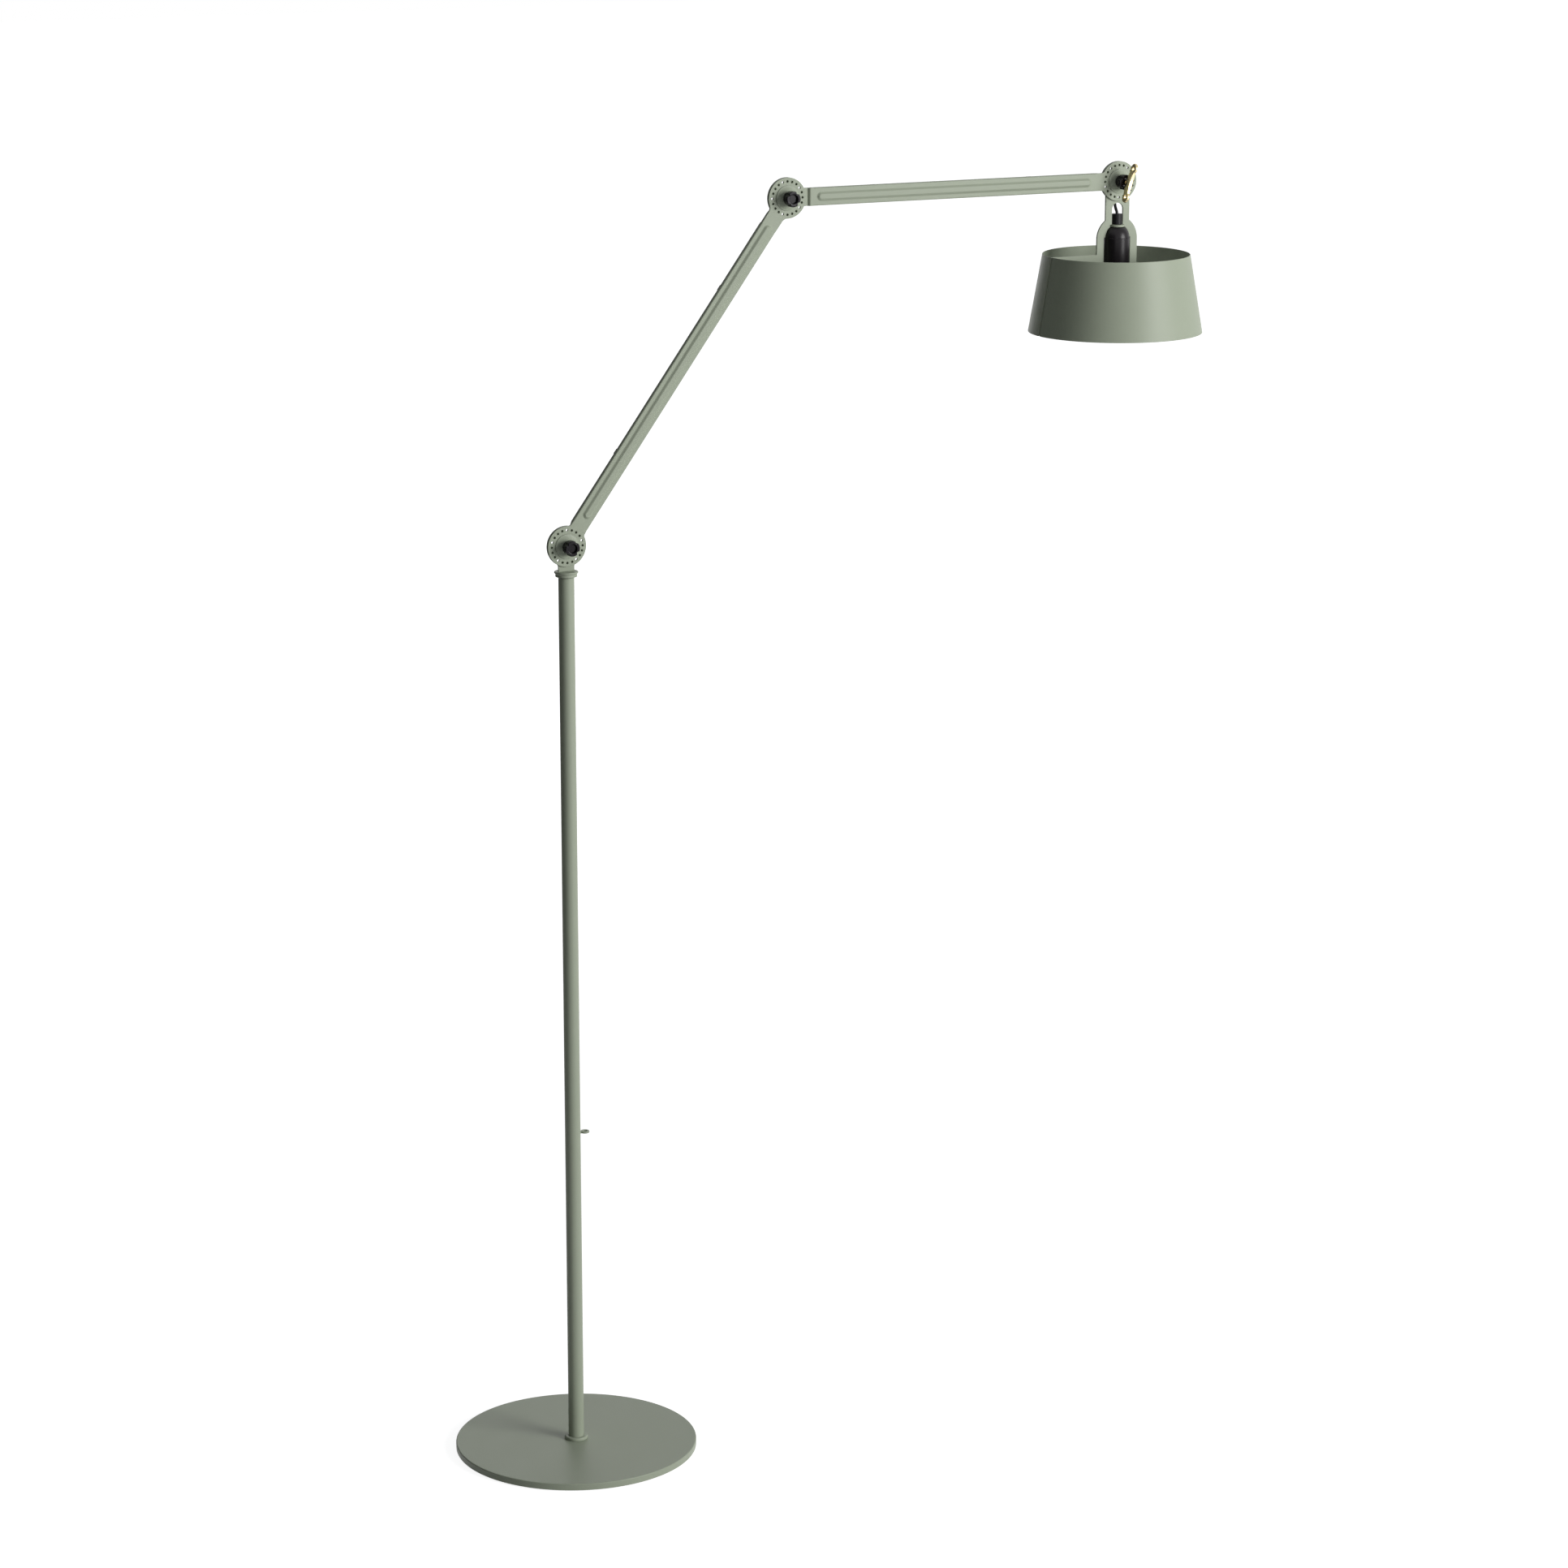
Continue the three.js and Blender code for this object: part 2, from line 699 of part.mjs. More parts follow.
function knob(openThrough) {
  const headBack = knobBack - knobHubLength;
  const hub = cylinderForward(knobHubDiameter / 2, knobBack, knobHubLength + 1, 24);
  const head = plate(notchedOutline(), [], knobFront, headBack, knobBevel);
  const recessRadius = knobRecessDiameter / 2;
  const recessSection = [
    [0, 0],
    [knobRecessFloorDiameter / 2, 0],
    [recessRadius, knobRecessDepth],
    [recessRadius, knobRecessDepth + 1],
    [0, knobRecessDepth + 1],
  ];
  const recess = turnedForward(recessSection, knobFront + knobRecessDepth, 18);
  const pocket = cylinderForward(insertDiameter / 2 + gap, knobBack + 1, knobInsertLength + gap + 1, 16);
  const tools = [recess, pocket];
  if (openThrough) {
    tools.push(cylinderForward(boreRadius, knobBack + 1, knobHubLength + knobHeadLength + 2, 14));
  }
  return cut(joined(hub, head), ...tools);
}

function knobInsert() {
  const outer = insertDiameter / 2;
  const section = [[boreRadius, 0], [outer, 0], [outer, knobInsertLength], [boreRadius, knobInsertLength]];
  return turnedForward(ringSection(section), knobBack, 16);
}

// The knob side of a hinge turns with the plate in front of it, the bolt with the one behind.
function addFastening(order, frontGroup, rearGroup, place, rearPlace, throughBolt) {
  const washer = addPiece(frontGroup, `bell_washer_${order}`, bellWasher(), finishOf(sage, 0.5, 0.2));
  const grip = addPiece(frontGroup, `knob_${order}`, knob(throughBolt), finishOf(black, 0.35, 0));
  const nut = addPiece(frontGroup, `knob_insert_${order}`, knobInsert(), finishOf(brass, 0.35, 1));
  for (const piece of [washer, grip, nut]) {
    piece.position.set(place, 0, 0);
  }
  const shankFront = throughBolt ? knobFront + knobRecessDepth + gap : knobBack - boltEngagement;
  const bolt = hingeBolt(shankFront, throughBolt);
  const boltMesh = addPiece(rearGroup, `hinge_bolt_${order}`, bolt, finishOf(steel, 0.35, 1));
  boltMesh.position.set(rearPlace, 0, 0);
}

// ---- Pole head ----

function makeHeadPlate() {
  const half = headNeckWidth / 2;
  const bottom = collarTopBelowPivot + tongueDepth;
  const outline = [...discEnd(half, neckFillet), ...pairs([[bottom, -half], [bottom, half]])];
  const holes = [squareBore(0, 0), ...indexHoles(0, 0, rearHoleDiameter, rearHoleCount, 180)];
  const geometry = plate(outline, holes, rearFront, plateBack);
  geometry.rotateY(Math.PI / 2);
  addPiece(poleHead, "head_plate", geometry, finishOf(sage, 0.5, 0.2));
}

function makeHeadPlug() {
  const collar = collarDiameter / 2;
  const lip = lipDiameter / 2;
  const lipBottom = collarTop - lipHeight;
  const section = [
    [0, spigotBottom],
    [spigotRadius, spigotBottom],
    [spigotRadius, collarBottom],
    [collar, collarBottom],
    [collar, lipBottom],
    [lip, lipBottom + lipBevel],
    [lip, collarTop - lipEdge],
    [lip - lipEdge, collarTop],
    [0, collarTop],
  ];
  const plug = turned(section, 28);
  const half = headNeckWidth / 2 + gap;
  const slotBottom = collarTop - tongueDepth - gap;
  const slot = block([-half, rearFront - gap, slotBottom], [half, plateBack + gap, collarTop + 1]);
  const bore = cylinderUp(cableRadius + gap, spigotBottom - 1, collarTop + 1, 12);
  bore.translate(0, plateCableY, 0);
  addPiece(poleHead, "head_plug", cut(plug, slot, bore), finishOf(sage, 0.5, 0.2));
}

function makeHeadCable() {
  const points = [
    [0, plateCableY, spigotBottom],
    [0, plateCableY, (spigotBottom - plateLoopReach) / 2],
    [0, plateCableY, -plateLoopReach - gap],
  ];
  addPiece(poleHead, "cable_in_head", cableAlong(points), finishOf(black, 0.7, 0));
}

// ---- Arms, drawn along +X from their near hinge ----

// The raised bead: a long stadium with sloping sides.
function bead(from, to) {
  const half = beadWidth / 2;
  const right = arcPoints(to - half, 0, half, -90, 90, 6);
  const left = arcPoints(from + half, 0, half, 90, 270, 6);
  const front = discFront - beadHeight;
  const raised = plate([...right, ...left], [], front, discFront + beadHeight + 1, beadHeight, beadSlope);
  return common(raised, block([from - 1, front - 1, -half - 1], [to + 1, discFront + 1, half + 1]));
}

// The folded sides of a channel, from stations that hold a place along the arm and the depth there.
function sideWalls(stations) {
  const ends = [stations[stations.length - 1][0], stations[0][0]];
  const front = ends.map((x) => [x, discFront]);
  const back = stations.map(([x, depth]) => [x, discFront + depth]);
  const side = new THREE.Shape(pairs([...back, ...front]));
  return [-halfArm, halfArm - sheetThickness].map((z) => {
    const wall = new THREE.ExtrudeGeometry(side, { depth: sheetThickness, bevelEnabled: false });
    wall.translate(0, 0, z);
    return wall;
  });
}

function makeLowerArm() {
  const near = discEnd(halfArm, neckFillet);
  const far = farDiscEnd(lowerArmLength, halfArm, elbowFillet);
  const holes = [
    roundBore(0, 0),
    roundBore(lowerArmLength, 0),
    ...indexHoles(0, 0, indexHoleDiameter, frontHoleCount, 0),
    ...indexHoles(lowerArmLength, 0, indexHoleDiameter, frontHoleCount, 0),
  ];
  const web = plate([...near, ...far], holes, discFront, discBack);
  const channelEnd = lowerArmLength - foldClearance;
  const neckEnd = lowerArmLength - flangeStart;
  const walls = sideWalls([
    [flangeStart, sheetThickness],
    [flangeStart + wallTaper, channelDepth],
    [channelEnd - wallStep, channelDepth],
    [channelEnd, neckDepth],
    [neckEnd - wallTaper, neckDepth],
    [neckEnd, sheetThickness],
  ]);
  const raised = bead(beadEndFromPivot, lowerArmLength - beadEndFromPivot);
  addPiece(lowerArm, "lower_arm", joined(web, ...walls, raised), finishOf(sage, 0.5, 0.2));
}

function makeUpperArm() {
  const stripStart = joggleStart + joggleLength;
  const stripEnd = pairs([[joggleStart, -halfArm], [joggleStart, halfArm]]);
  const rearOutline = [...discEnd(halfArm, neckFillet), ...stripEnd];
  const rearHoles = [squareBore(0, 0), ...indexHoles(0, 0, rearHoleDiameter, rearHoleCount, 180)];
  const rear = plate(rearOutline, rearHoles, rearFront, plateBack);
  const front = farDiscEnd(upperArmLength, halfArm, neckFillet);
  const frontOutline = [...front, ...pairs([[stripStart, halfArm], [stripStart, -halfArm]])];
  const frontHoles = [
    roundBore(upperArmLength, 0),
    ...indexHoles(upperArmLength, 0, indexHoleDiameter, frontHoleCount, 0),
  ];
  const strip = plate(frontOutline, frontHoles, discFront, discBack);
  const step = new THREE.Shape(pairs([
    [joggleStart - joggleOverlap, rearFront],
    [joggleStart, rearFront],
    [stripStart, discFront],
    [stripStart + joggleOverlap, discFront],
    [stripStart + joggleOverlap, discBack],
    [stripStart, discBack],
    [joggleStart, plateBack],
    [joggleStart - joggleOverlap, plateBack],
  ]));
  const joggle = new THREE.ExtrudeGeometry(step, { depth: armWidth, bevelEnabled: false });
  joggle.translate(0, 0, -halfArm);
  const channelEnd = upperArmLength - tiltClearance;
  const walls = sideWalls([
    [stripStart, channelDepth],
    [channelEnd - wallTaper, channelDepth],
    [channelEnd, sheetThickness],
  ]);
  const raised = bead(beadEndFromPivot, upperArmLength - beadEndFromPivot);
  addPiece(upperArm, "upper_arm", joined(rear, joggle, strip, ...walls, raised), finishOf(sage, 0.5, 0.2));
}

// A bridge clip that snaps between the side walls and holds the cable in the channel.
function channelClip(x) {
  const low = channelCableY + cableRadius + gap;
  const ear = halfArm - sheetThickness - gap;
  const bridge = block([x, low, -halfArm], [x + clipLength, low + clipThickness, halfArm]);
  const upper = block([x, 0, ear - clipThickness], [x + clipLength, low + clipThickness / 2, ear]);
  const lower = block([x, 0, -ear], [x + clipLength, low + clipThickness / 2, clipThickness - ear]);
  return joined(bridge, upper, lower);
}

function makeArmCables() {
  const lowerEnd = lowerArmLength - foldStop;
  const lowerPoints = [
    [channelLoopReach + gap, channelCableY, 0],
    [lowerArmLength / 2, channelCableY, 0],
    [lowerEnd - gap, channelCableY, 0],
  ];
  addPiece(lowerArm, "cable_in_lower_arm", straightCable(lowerPoints), finishOf(black, 0.7, 0));
  const upperPoints = [
    [joggleStop + gap, channelCableY, 0],
    [upperArmLength / 2, channelCableY, 0],
    [upperArmLength - channelLoopReach - gap, channelCableY, 0],
  ];
  addPiece(upperArm, "cable_in_upper_arm", straightCable(upperPoints), finishOf(black, 0.7, 0));
  const clipSteel = finishOf(steel, 0.4, 1);
  const arms = [[lowerArm, "lower", lowerArmLength], [upperArm, "upper", upperArmLength]];
  for (const [group, label, length] of arms) {
    addPiece(group, `${label}_arm_clip_near`, channelClip(length * clipPlaces[0]), clipSteel);
    addPiece(group, `${label}_arm_clip_far`, channelClip(length * clipPlaces[1]), clipSteel);
  }
}

function straightCable(points) {
  const first = points[0];
  const last = points[points.length - 1];
  const cable = turned(rod(cableRadius, last[0] - first[0]), 8);
  cable.rotateY(Math.PI / 2);
  cable.translate(first[0], first[1], first[2]);
  return cable;
}

// ---- Wing nut, with its long direction along X before it is turned ----

function wingNut() {
  const ear = wingEarRadius;
  const holeX = wingEarSpacing / 2;
  const earX = holeX + wingHoleInset;
  const waist = wingWaistDepth / 2;
  const middleY = knobFront - gap - wingStandOff - waist;
  const earY = middleY - wingSweep;
  const side = [];
  side.push(...arcPoints(earX, earY, ear, -90, 90, 9));
  side.push(new THREE.Vector2(earX * 0.4, middleY + waist));
  side.push(new THREE.Vector2(-earX * 0.4, middleY + waist));
  side.push(...arcPoints(-earX, earY, ear, 90, 270, 9));
  side.push(new THREE.Vector2(-earX * 0.4, middleY - waist));
  side.push(new THREE.Vector2(earX * 0.4, middleY - waist));
  const shape = new THREE.Shape(side);
  shape.holes = [-holeX, holeX].map((x) => new THREE.Path(circlePoints(x, earY, wingHoleDiameter / 2, 10)));
  const thick = wingMiddleThickness;
  const slab = new THREE.ExtrudeGeometry(shape, { depth: thick, bevelEnabled: false });
  slab.translate(0, 0, -thick / 2);
  const end = earX + ear + 1;
  const upper = [];
  const lower = [];
  const steps = 8;
  for (let i = 0; i <= steps; i += 1) {
    const x = -end + (2 * end * i) / steps;
    const bulge = (thick - wingEndThickness) * Math.cos((Math.PI * x) / (2 * end)) ** wingBulge;
    const half = (wingEndThickness + bulge) / 2;
    upper.unshift([x, half]);
    lower.push([x, -half]);
  }
  const lens = plate(pairs([...lower, ...upper]), [], earY - ear - 1, middleY + waist + 1);
  const wings = common(slab, lens);
  const hubBack = knobFront + knobRecessDepth - gap;
  const hubFront = middleY + waist - 1;
  const hub = cylinderForward(wingHubDiameter / 2, hubBack, hubBack - hubFront, 18);
  const boreFront = knobFront - wingBoltReach - gap;
  const bore = cylinderForward(tipDiameter / 2 + gap, hubBack + 1, hubBack + 1 - boreFront, 12);
  return cut(joined(wings, hub), bore);
}

// ---- Shade head, drawn about the third hinge ----

// Radius of the lampholder's dome, from its flat top (t = 0) to the skirt (t = 1).
function domePoint(t) {
  const topRadius = holderTopDiameter / 2;
  const sideRadius = holderDiameter / 2;
  const bulge = sideRadius - domeBulge;
  const radius = (1 - t) ** 2 * topRadius + 2 * t * (1 - t) * bulge + t ** 2 * sideRadius;
  const drop = holderDomeHeight * (2 * t * (1 - t) * domeRise + t ** 2);
  return [radius, holderTop - drop];
}

function makeBracket() {
  const neck = bracketNeckWidth / 2;
  const wide = bracketWidth / 2;
  const bottom = -bracketBottomDrop;
  const shoulderCentre = -bracketShoulderDrop;
  const meet = (Math.acos(neck / wide) * 180) / Math.PI;
  const join = (Math.asin(neck / discRadius) * 180) / Math.PI;
  const finEdge = (z) => -(shadeRadius(z) + finReach);
  const finBottom = shadeBottom + finEndClearance;
  const right = arcPoints(0, shoulderCentre, wide, 0, meet, 8);
  const disc = arcPoints(0, 0, discRadius, join - 90, 270 - join, 32);
  const left = arcPoints(0, shoulderCentre, wide, 180 - meet, 180, 8);
  const fin = pairs([
    [-wide, shadeTop],
    [finEdge(shadeTop), shadeTop],
    [finEdge(finBottom), finBottom],
    [finEdge(finBottom) + finWidth, finBottom],
  ]);
  const sweep = new THREE.QuadraticBezierCurve(
    fin[3],
    new THREE.Vector2(-wide - sweepReach, bottom - sweepDrop),
    new THREE.Vector2(-wide + sweepFoot, bottom),
  ).getPoints(7).slice(1);
  const foot = pairs([[wide - legRounding, bottom], [wide, bottom + legRounding]]);
  const outline = [...foot, ...right, ...disc, ...left, ...fin, ...sweep, ...holderRecess()];
  const holes = [squareBore(0, 0), ...indexHoles(0, 0, rearHoleDiameter, rearHoleCount, 270), slotOutline()];
  const sheet = plate(outline, holes, rearFront, plateBack);
  const tabBottom = -(tabTopDrop + tabThickness);
  const tab = cylinderUp(tabDiameter / 2, tabBottom, -tabTopDrop, 22);
  const tabBore = cylinderUp(nippleDiameter / 2 + gap, tabBottom - 1, -tabTopDrop + 1, 16);
  const solid = cut(joined(sheet, tab), tabBore, ...rivetHoles());
  addPiece(shadeHead, "shade_bracket", solid, finishOf(sage, 0.5, 0.2));
}

// The arched slot that the cable and its grip stand in.
function slotOutline() {
  const half = slotWidth / 2;
  const arch = arcPoints(0, -slotTopDrop - half, half, 0, 180, 10);
  return [...arch, ...pairs([[-half, -tabTopDrop], [half, -tabTopDrop]])];
}

// The recess that the lampholder stands in follows its dome, then steps out beside its skirt
// and is open at the bottom, between the bracket's two legs.
function holderRecess() {
  const bottom = -bracketBottomDrop;
  const half = holderDiameter / 2 + windowSideClearance;
  const dome = [];
  const steps = 5;
  for (let i = 0; i <= steps; i += 1) {
    const [radius, z] = domePoint(i / steps);
    dome.push([radius + recessClearance, z + gap * (1 - i / steps)]);
  }
  const stepZ = dome[steps][1];
  const right = [...dome, [half, stepZ], [half, bottom]];
  const left = right.map(([x, z]) => [-x, z]).reverse();
  return pairs([...left, ...right]);
}

function makeCordGrip() {
  const grip = gripDiameter / 2;
  const bottom = -tabTopDrop + gap;
  const top = -gripTopDrop;
  const bore = cableRadius + gap;
  const nipple = nippleDiameter / 2;
  const nippleEnd = holderTop - nippleLength;
  const section = [
    [bore, nippleEnd],
    [nipple, nippleEnd],
    [nipple, bottom],
    [grip, bottom],
    [grip, top - gripEdge],
    [grip - gripEdge, top],
    [bore, top],
  ];
  addPiece(shadeHead, "cord_grip", turned(ringSection(section), 20), finishOf(black, 0.45, 0));
}

function makeLampholder() {
  const outer = holderDiameter / 2;
  const inner = outer - holderWall;
  const bore = nippleDiameter / 2 + gap;
  const outside = [];
  const inside = [];
  const steps = 4;
  for (let i = 0; i <= steps; i += 1) {
    const [radius, z] = domePoint(1 - i / steps);
    outside.push([radius, z]);
    inside.unshift([Math.max(radius - holderWall, bore), z - holderWall * (i / steps)]);
  }
  inside[0] = [bore, holderTop - holderWall];
  const domeSection = [...outside, [bore, holderTop], ...inside.slice(0, steps), [inner, domeBottom]];
  addPiece(shadeHead, "lampholder_dome", turned(ringSection(domeSection), 24), finishOf(black, 0.35, 0));
  const top = domeBottom - gap;
  const skirt = [[inner, skirtBottom], [outer, skirtBottom], [outer, top], [inner, top]];
  addPiece(shadeHead, "lampholder_skirt", turned(ringSection(skirt), 24), finishOf(black, 0.35, 0));
}

function makeLampholderInside() {
  const outer = holderDiameter / 2 - holderWall - gap;
  const pocket = shellRadius + gap;
  const top = domeBottom - coreTopInset;
  const floor = shellTop + gap;
  const socket = contactDiameter / 2 + gap;
  const core = [
    [0, floor + contactRise + gap],
    [socket, floor + contactRise + gap],
    [socket, floor],
    [pocket, floor],
    [pocket, shellBottom],
    [outer, shellBottom],
    [outer, top],
    [0, top],
  ];
  addPiece(shadeHead, "lampholder_core", turned(core, 18), finishOf(white, 0.6, 0));
  const inner = shellRadius - shellWall;
  const low = shellBottom + shellEndClearance;
  const shell = [[inner, low], [shellRadius, low], [shellRadius, shellTop], [inner, shellTop]];
  addPiece(shadeHead, "lampholder_shell", turned(ringSection(shell), 18), finishOf(brass, 0.35, 1));
  const contact = turned(rod(contactDiameter / 2, contactReach + contactRise), 8);
  contact.translate(0, 0, floor - contactReach);
  addPiece(shadeHead, "centre_contact", contact, finishOf(brass, 0.35, 1));
}

function makeBulb() {
  const capTop = shellTop + gap - contactReach - contactGap - 2 * gap;
  const capRadius = bulbCapDiameter / 2;
  const capBottom = capTop - bulbCapLength;
  const cap = [
    [0, capBottom],
    [capRadius - bulbCapEdge / 2, capBottom],
    [capRadius, capBottom + bulbCapEdge],
    [capRadius, capTop - bulbCapCone],
    [bulbTipDiameter / 2, capTop],
    [0, capTop],
  ];
  addPiece(shadeHead, "bulb_cap", turned(cap, 18), finishOf(steel, 0.4, 1));
  const glassTop = capBottom - gap;
  const globe = bulbDiameter / 2;
  const centre = glassTop - bulbLength + globe;
  const neck = bulbNeckDiameter / 2;
  const lower = arcPoints(0, centre, globe, -90, bulbShoulderAngle, 8).map((p) => [Math.max(p.x, 0), p.y]);
  const upper = [
    [neck, glassTop - bulbNeckLength],
    [capRadius, glassTop],
    [0, glassTop],
  ];
  addPiece(shadeHead, "bulb_glass", turned([...lower, ...upper], 20), finishOf(white, 0.25, 0));
}

// Radius of the shade's outer side at a height.
function shadeRadius(z) {
  const slope = (shadeBottomDiameter - shadeTopDiameter) / 2 / shadeHeight;
  return shadeTopDiameter / 2 + slope * (shadeTop - z);
}

function rivetPlaces() {
  const places = [];
  for (let i = 0; i < rivetCount; i += 1) {
    const z = shadeTop - (shadeHeight * (i + 0.5)) / rivetCount;
    places.push([-(shadeRadius(z) - shadeWall - rivetInset), z]);
  }
  return places;
}

// A pin across the sheet at one rivet's place.
function rivetShank([x, z], radius, halfLength) {
  const shank = cylinderForward(radius, halfLength, 2 * halfLength, 8);
  shank.translate(x, 0, z);
  return shank;
}

function rivetHoles() {
  const reach = hemOuter + 1;
  return rivetPlaces().map((place) => rivetShank(place, rivetDiameter / 2 + gap, reach));
}

// The shade is one sheet rolled to a cone. Its two ends turn inwards as hems on both
// sides of the bracket's fin.
function makeShade() {
  const top = shadeTopDiameter / 2;
  const bottom = shadeBottomDiameter / 2;
  const section = [
    [bottom - shadeWall, shadeBottom],
    [bottom, shadeBottom],
    [top, shadeTop],
    [top - shadeWall, shadeTop],
  ];
  const cone = turned(ringSection(section), 60);
  const slit = block([-bottom - 10, -slitHalf, shadeBottom - 5], [-top / 2, slitHalf, shadeTop + 5]);
  const hem = pairs([
    [-top + 0.4, shadeTop],
    [-bottom + 0.4, shadeBottom],
    [-bottom + shadeWall + hemDepth, shadeBottom],
    [-top + shadeWall + hemDepth, shadeTop],
  ]);
  const frontHem = plate(hem, [], -hemOuter, -slitHalf);
  const rearHem = plate(hem, [], slitHalf, hemOuter);
  const solid = cut(joined(cut(cone, slit), frontHem, rearHem), ...rivetHoles());
  addPiece(shadeHead, "shade", solid, finishOf(sage, 0.5, 0.2));
}

function makeRivets() {
  const half = hemOuter + gap;
  const dome = domedHead(rivetHeadDiameter / 2, rivetHeadHeight);
  rivetPlaces().forEach((place, i) => {
    const rear = turnedForward(dome, half + rivetHeadHeight, 10);
    const front = turnedForward(dome, half + rivetHeadHeight, 10);
    front.rotateZ(Math.PI);
    for (const head of [rear, front]) {
      head.translate(place[0], 0, place[1]);
    }
    const rivet = joined(rivetShank(place, rivetDiameter / 2, half), rear, front);
    addPiece(shadeHead, `shade_rivet_${i + 1}`, rivet, finishOf(sage, 0.45, 0.3));
  });
}

function makeShadeCable() {
  const gripBottom = holderTop - 4.5;
  const points = [
    [0, 0, gripBottom],
    [0, 0, -gripTopDrop - 6],
    [0, 0.6, -gripTopDrop + 2],
    [0, 4.6, -39],
    [0, overBoltY - 0.4, -32],
    [0, overBoltY, -plateLoopReach - gap],
  ];
  addPiece(shadeHead, "cable_in_bracket", cableAlong(points), finishOf(black, 0.7, 0));
}

// ---- Cable loops that cross the hinges at rest ----

function inPlane(point, angle, reach, y) {
  return [point[0] + reach * Math.cos(degrees(angle)), y, point[1] + reach * Math.sin(degrees(angle))];
}

// A loop starts where the cable of one body ends, crosses over the bolt's head and
// goes on where the cable of the next body starts. Its ends are straight.
function makeLoop(name, pivot, start, end) {
  const along = (side, reach, y) => inPlane(pivot, side.angle, reach, y);
  const leadIn = (side) => [
    along(side, side.stop, side.y),
    along(side, side.stop - 3, side.y),
    along(side, (side.stop + 13) / 2, (side.y + overBoltY) / 2),
    along(side, 10, overBoltY),
  ];
  const points = [...leadIn(start), ...leadIn(end).reverse()];
  addPiece(lamp, name, cableAlong(points), finishOf(black, 0.7, 0));
}

const secondPivot = [
  lowerArmLength * Math.cos(degrees(lowerArmAngle)),
  pivotZ + lowerArmLength * Math.sin(degrees(lowerArmAngle)),
];
const thirdPivot = [secondPivot[0] + upperArmLength, secondPivot[1]];

function makeLoops() {
  const head = { angle: -90, stop: plateLoopReach, y: plateCableY };
  const lowerNear = { angle: lowerArmAngle, stop: channelLoopReach, y: channelCableY };
  makeLoop("cable_loop_1", [0, pivotZ], head, lowerNear);
  const lowerFar = { angle: lowerArmAngle + 180, stop: foldStop, y: channelCableY };
  const upperNear = { angle: 0, stop: joggleStop, y: channelCableY };
  makeLoop("cable_loop_2", secondPivot, lowerFar, upperNear);
  const upperFar = { angle: 180, stop: channelLoopReach, y: channelCableY };
  const bracket = { angle: -90, stop: plateLoopReach, y: overBoltY };
  makeLoop("cable_loop_3", thirdPivot, upperFar, bracket);
}

// ---- Assembly ----

makeFeet();
makeBasePlate();
makeBaseBolt();
makePoleFoot();
makePoleTube();
makeCordOutlet();
makeEyelet();
makePoleBush();
makePoleCable();
makeHeadPlate();
makeHeadPlug();
makeHeadCable();
makeLowerArm();
makeUpperArm();
makeArmCables();
addFastening(1, lowerArm, poleHead, 0, 0, false);
addFastening(2, lowerArm, upperArm, lowerArmLength, 0, false);
addFastening(3, upperArm, shadeHead, upperArmLength, 0, true);
const nut = addPiece(upperArm, "wing_nut", wingNut(), finishOf(brass, 0.12, 1));
nut.position.set(upperArmLength, 0, 0);
nut.rotation.y = -degrees(wingTilt);
makeBracket();
makeCordGrip();
makeLampholder();
makeLampholderInside();
makeBulb();
makeShade();
makeRivets();
makeShadeCable();
makeLoops();

poleHead.position.set(0, 0, pivotZ);
lowerArm.position.set(0, 0, pivotZ);
lowerArm.rotation.y = -degrees(lowerArmAngle);
upperArm.position.set(secondPivot[0], 0, secondPivot[1]);
shadeHead.position.set(thirdPivot[0], 0, thirdPivot[1]);
lamp.add(poleHead, lowerArm, upperArm, shadeHead);

export default lamp;
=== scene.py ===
import json
import math
import bmesh
import bpy
import numpy as np
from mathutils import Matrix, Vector
from mathutils.geometry import tessellate_polygon


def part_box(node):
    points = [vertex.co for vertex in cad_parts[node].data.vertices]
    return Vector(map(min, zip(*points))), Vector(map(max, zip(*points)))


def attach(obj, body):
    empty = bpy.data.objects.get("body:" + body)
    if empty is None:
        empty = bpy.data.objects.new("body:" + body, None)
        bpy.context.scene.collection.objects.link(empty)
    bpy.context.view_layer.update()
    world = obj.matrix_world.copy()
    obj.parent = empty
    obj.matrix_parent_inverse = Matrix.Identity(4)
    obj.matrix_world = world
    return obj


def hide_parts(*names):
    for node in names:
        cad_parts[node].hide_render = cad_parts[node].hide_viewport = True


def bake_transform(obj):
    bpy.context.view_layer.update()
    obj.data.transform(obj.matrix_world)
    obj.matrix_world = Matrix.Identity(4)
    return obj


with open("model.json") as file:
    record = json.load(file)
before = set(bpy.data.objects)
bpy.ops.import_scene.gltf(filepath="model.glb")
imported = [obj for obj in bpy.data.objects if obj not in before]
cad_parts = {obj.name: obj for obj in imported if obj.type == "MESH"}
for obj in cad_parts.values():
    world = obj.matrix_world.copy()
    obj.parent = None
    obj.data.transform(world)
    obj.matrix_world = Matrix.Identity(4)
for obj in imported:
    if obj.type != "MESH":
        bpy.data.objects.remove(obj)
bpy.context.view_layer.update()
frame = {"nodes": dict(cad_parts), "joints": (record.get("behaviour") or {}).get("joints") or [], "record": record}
scene = bpy.context.scene
scene.view_settings.view_transform = "Standard"
mm = 0.001  # every shape below is worked out in millimetres
gap = 0.3  # left between pieces that touch


# a CAD node's lowest and highest corners in millimetres
def boxOf(node):
    low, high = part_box(node)
    return np.array(low) / mm, np.array(high) / mm


# the middle of that box
def middleOf(node):
    return sum(boxOf(node)) / 2


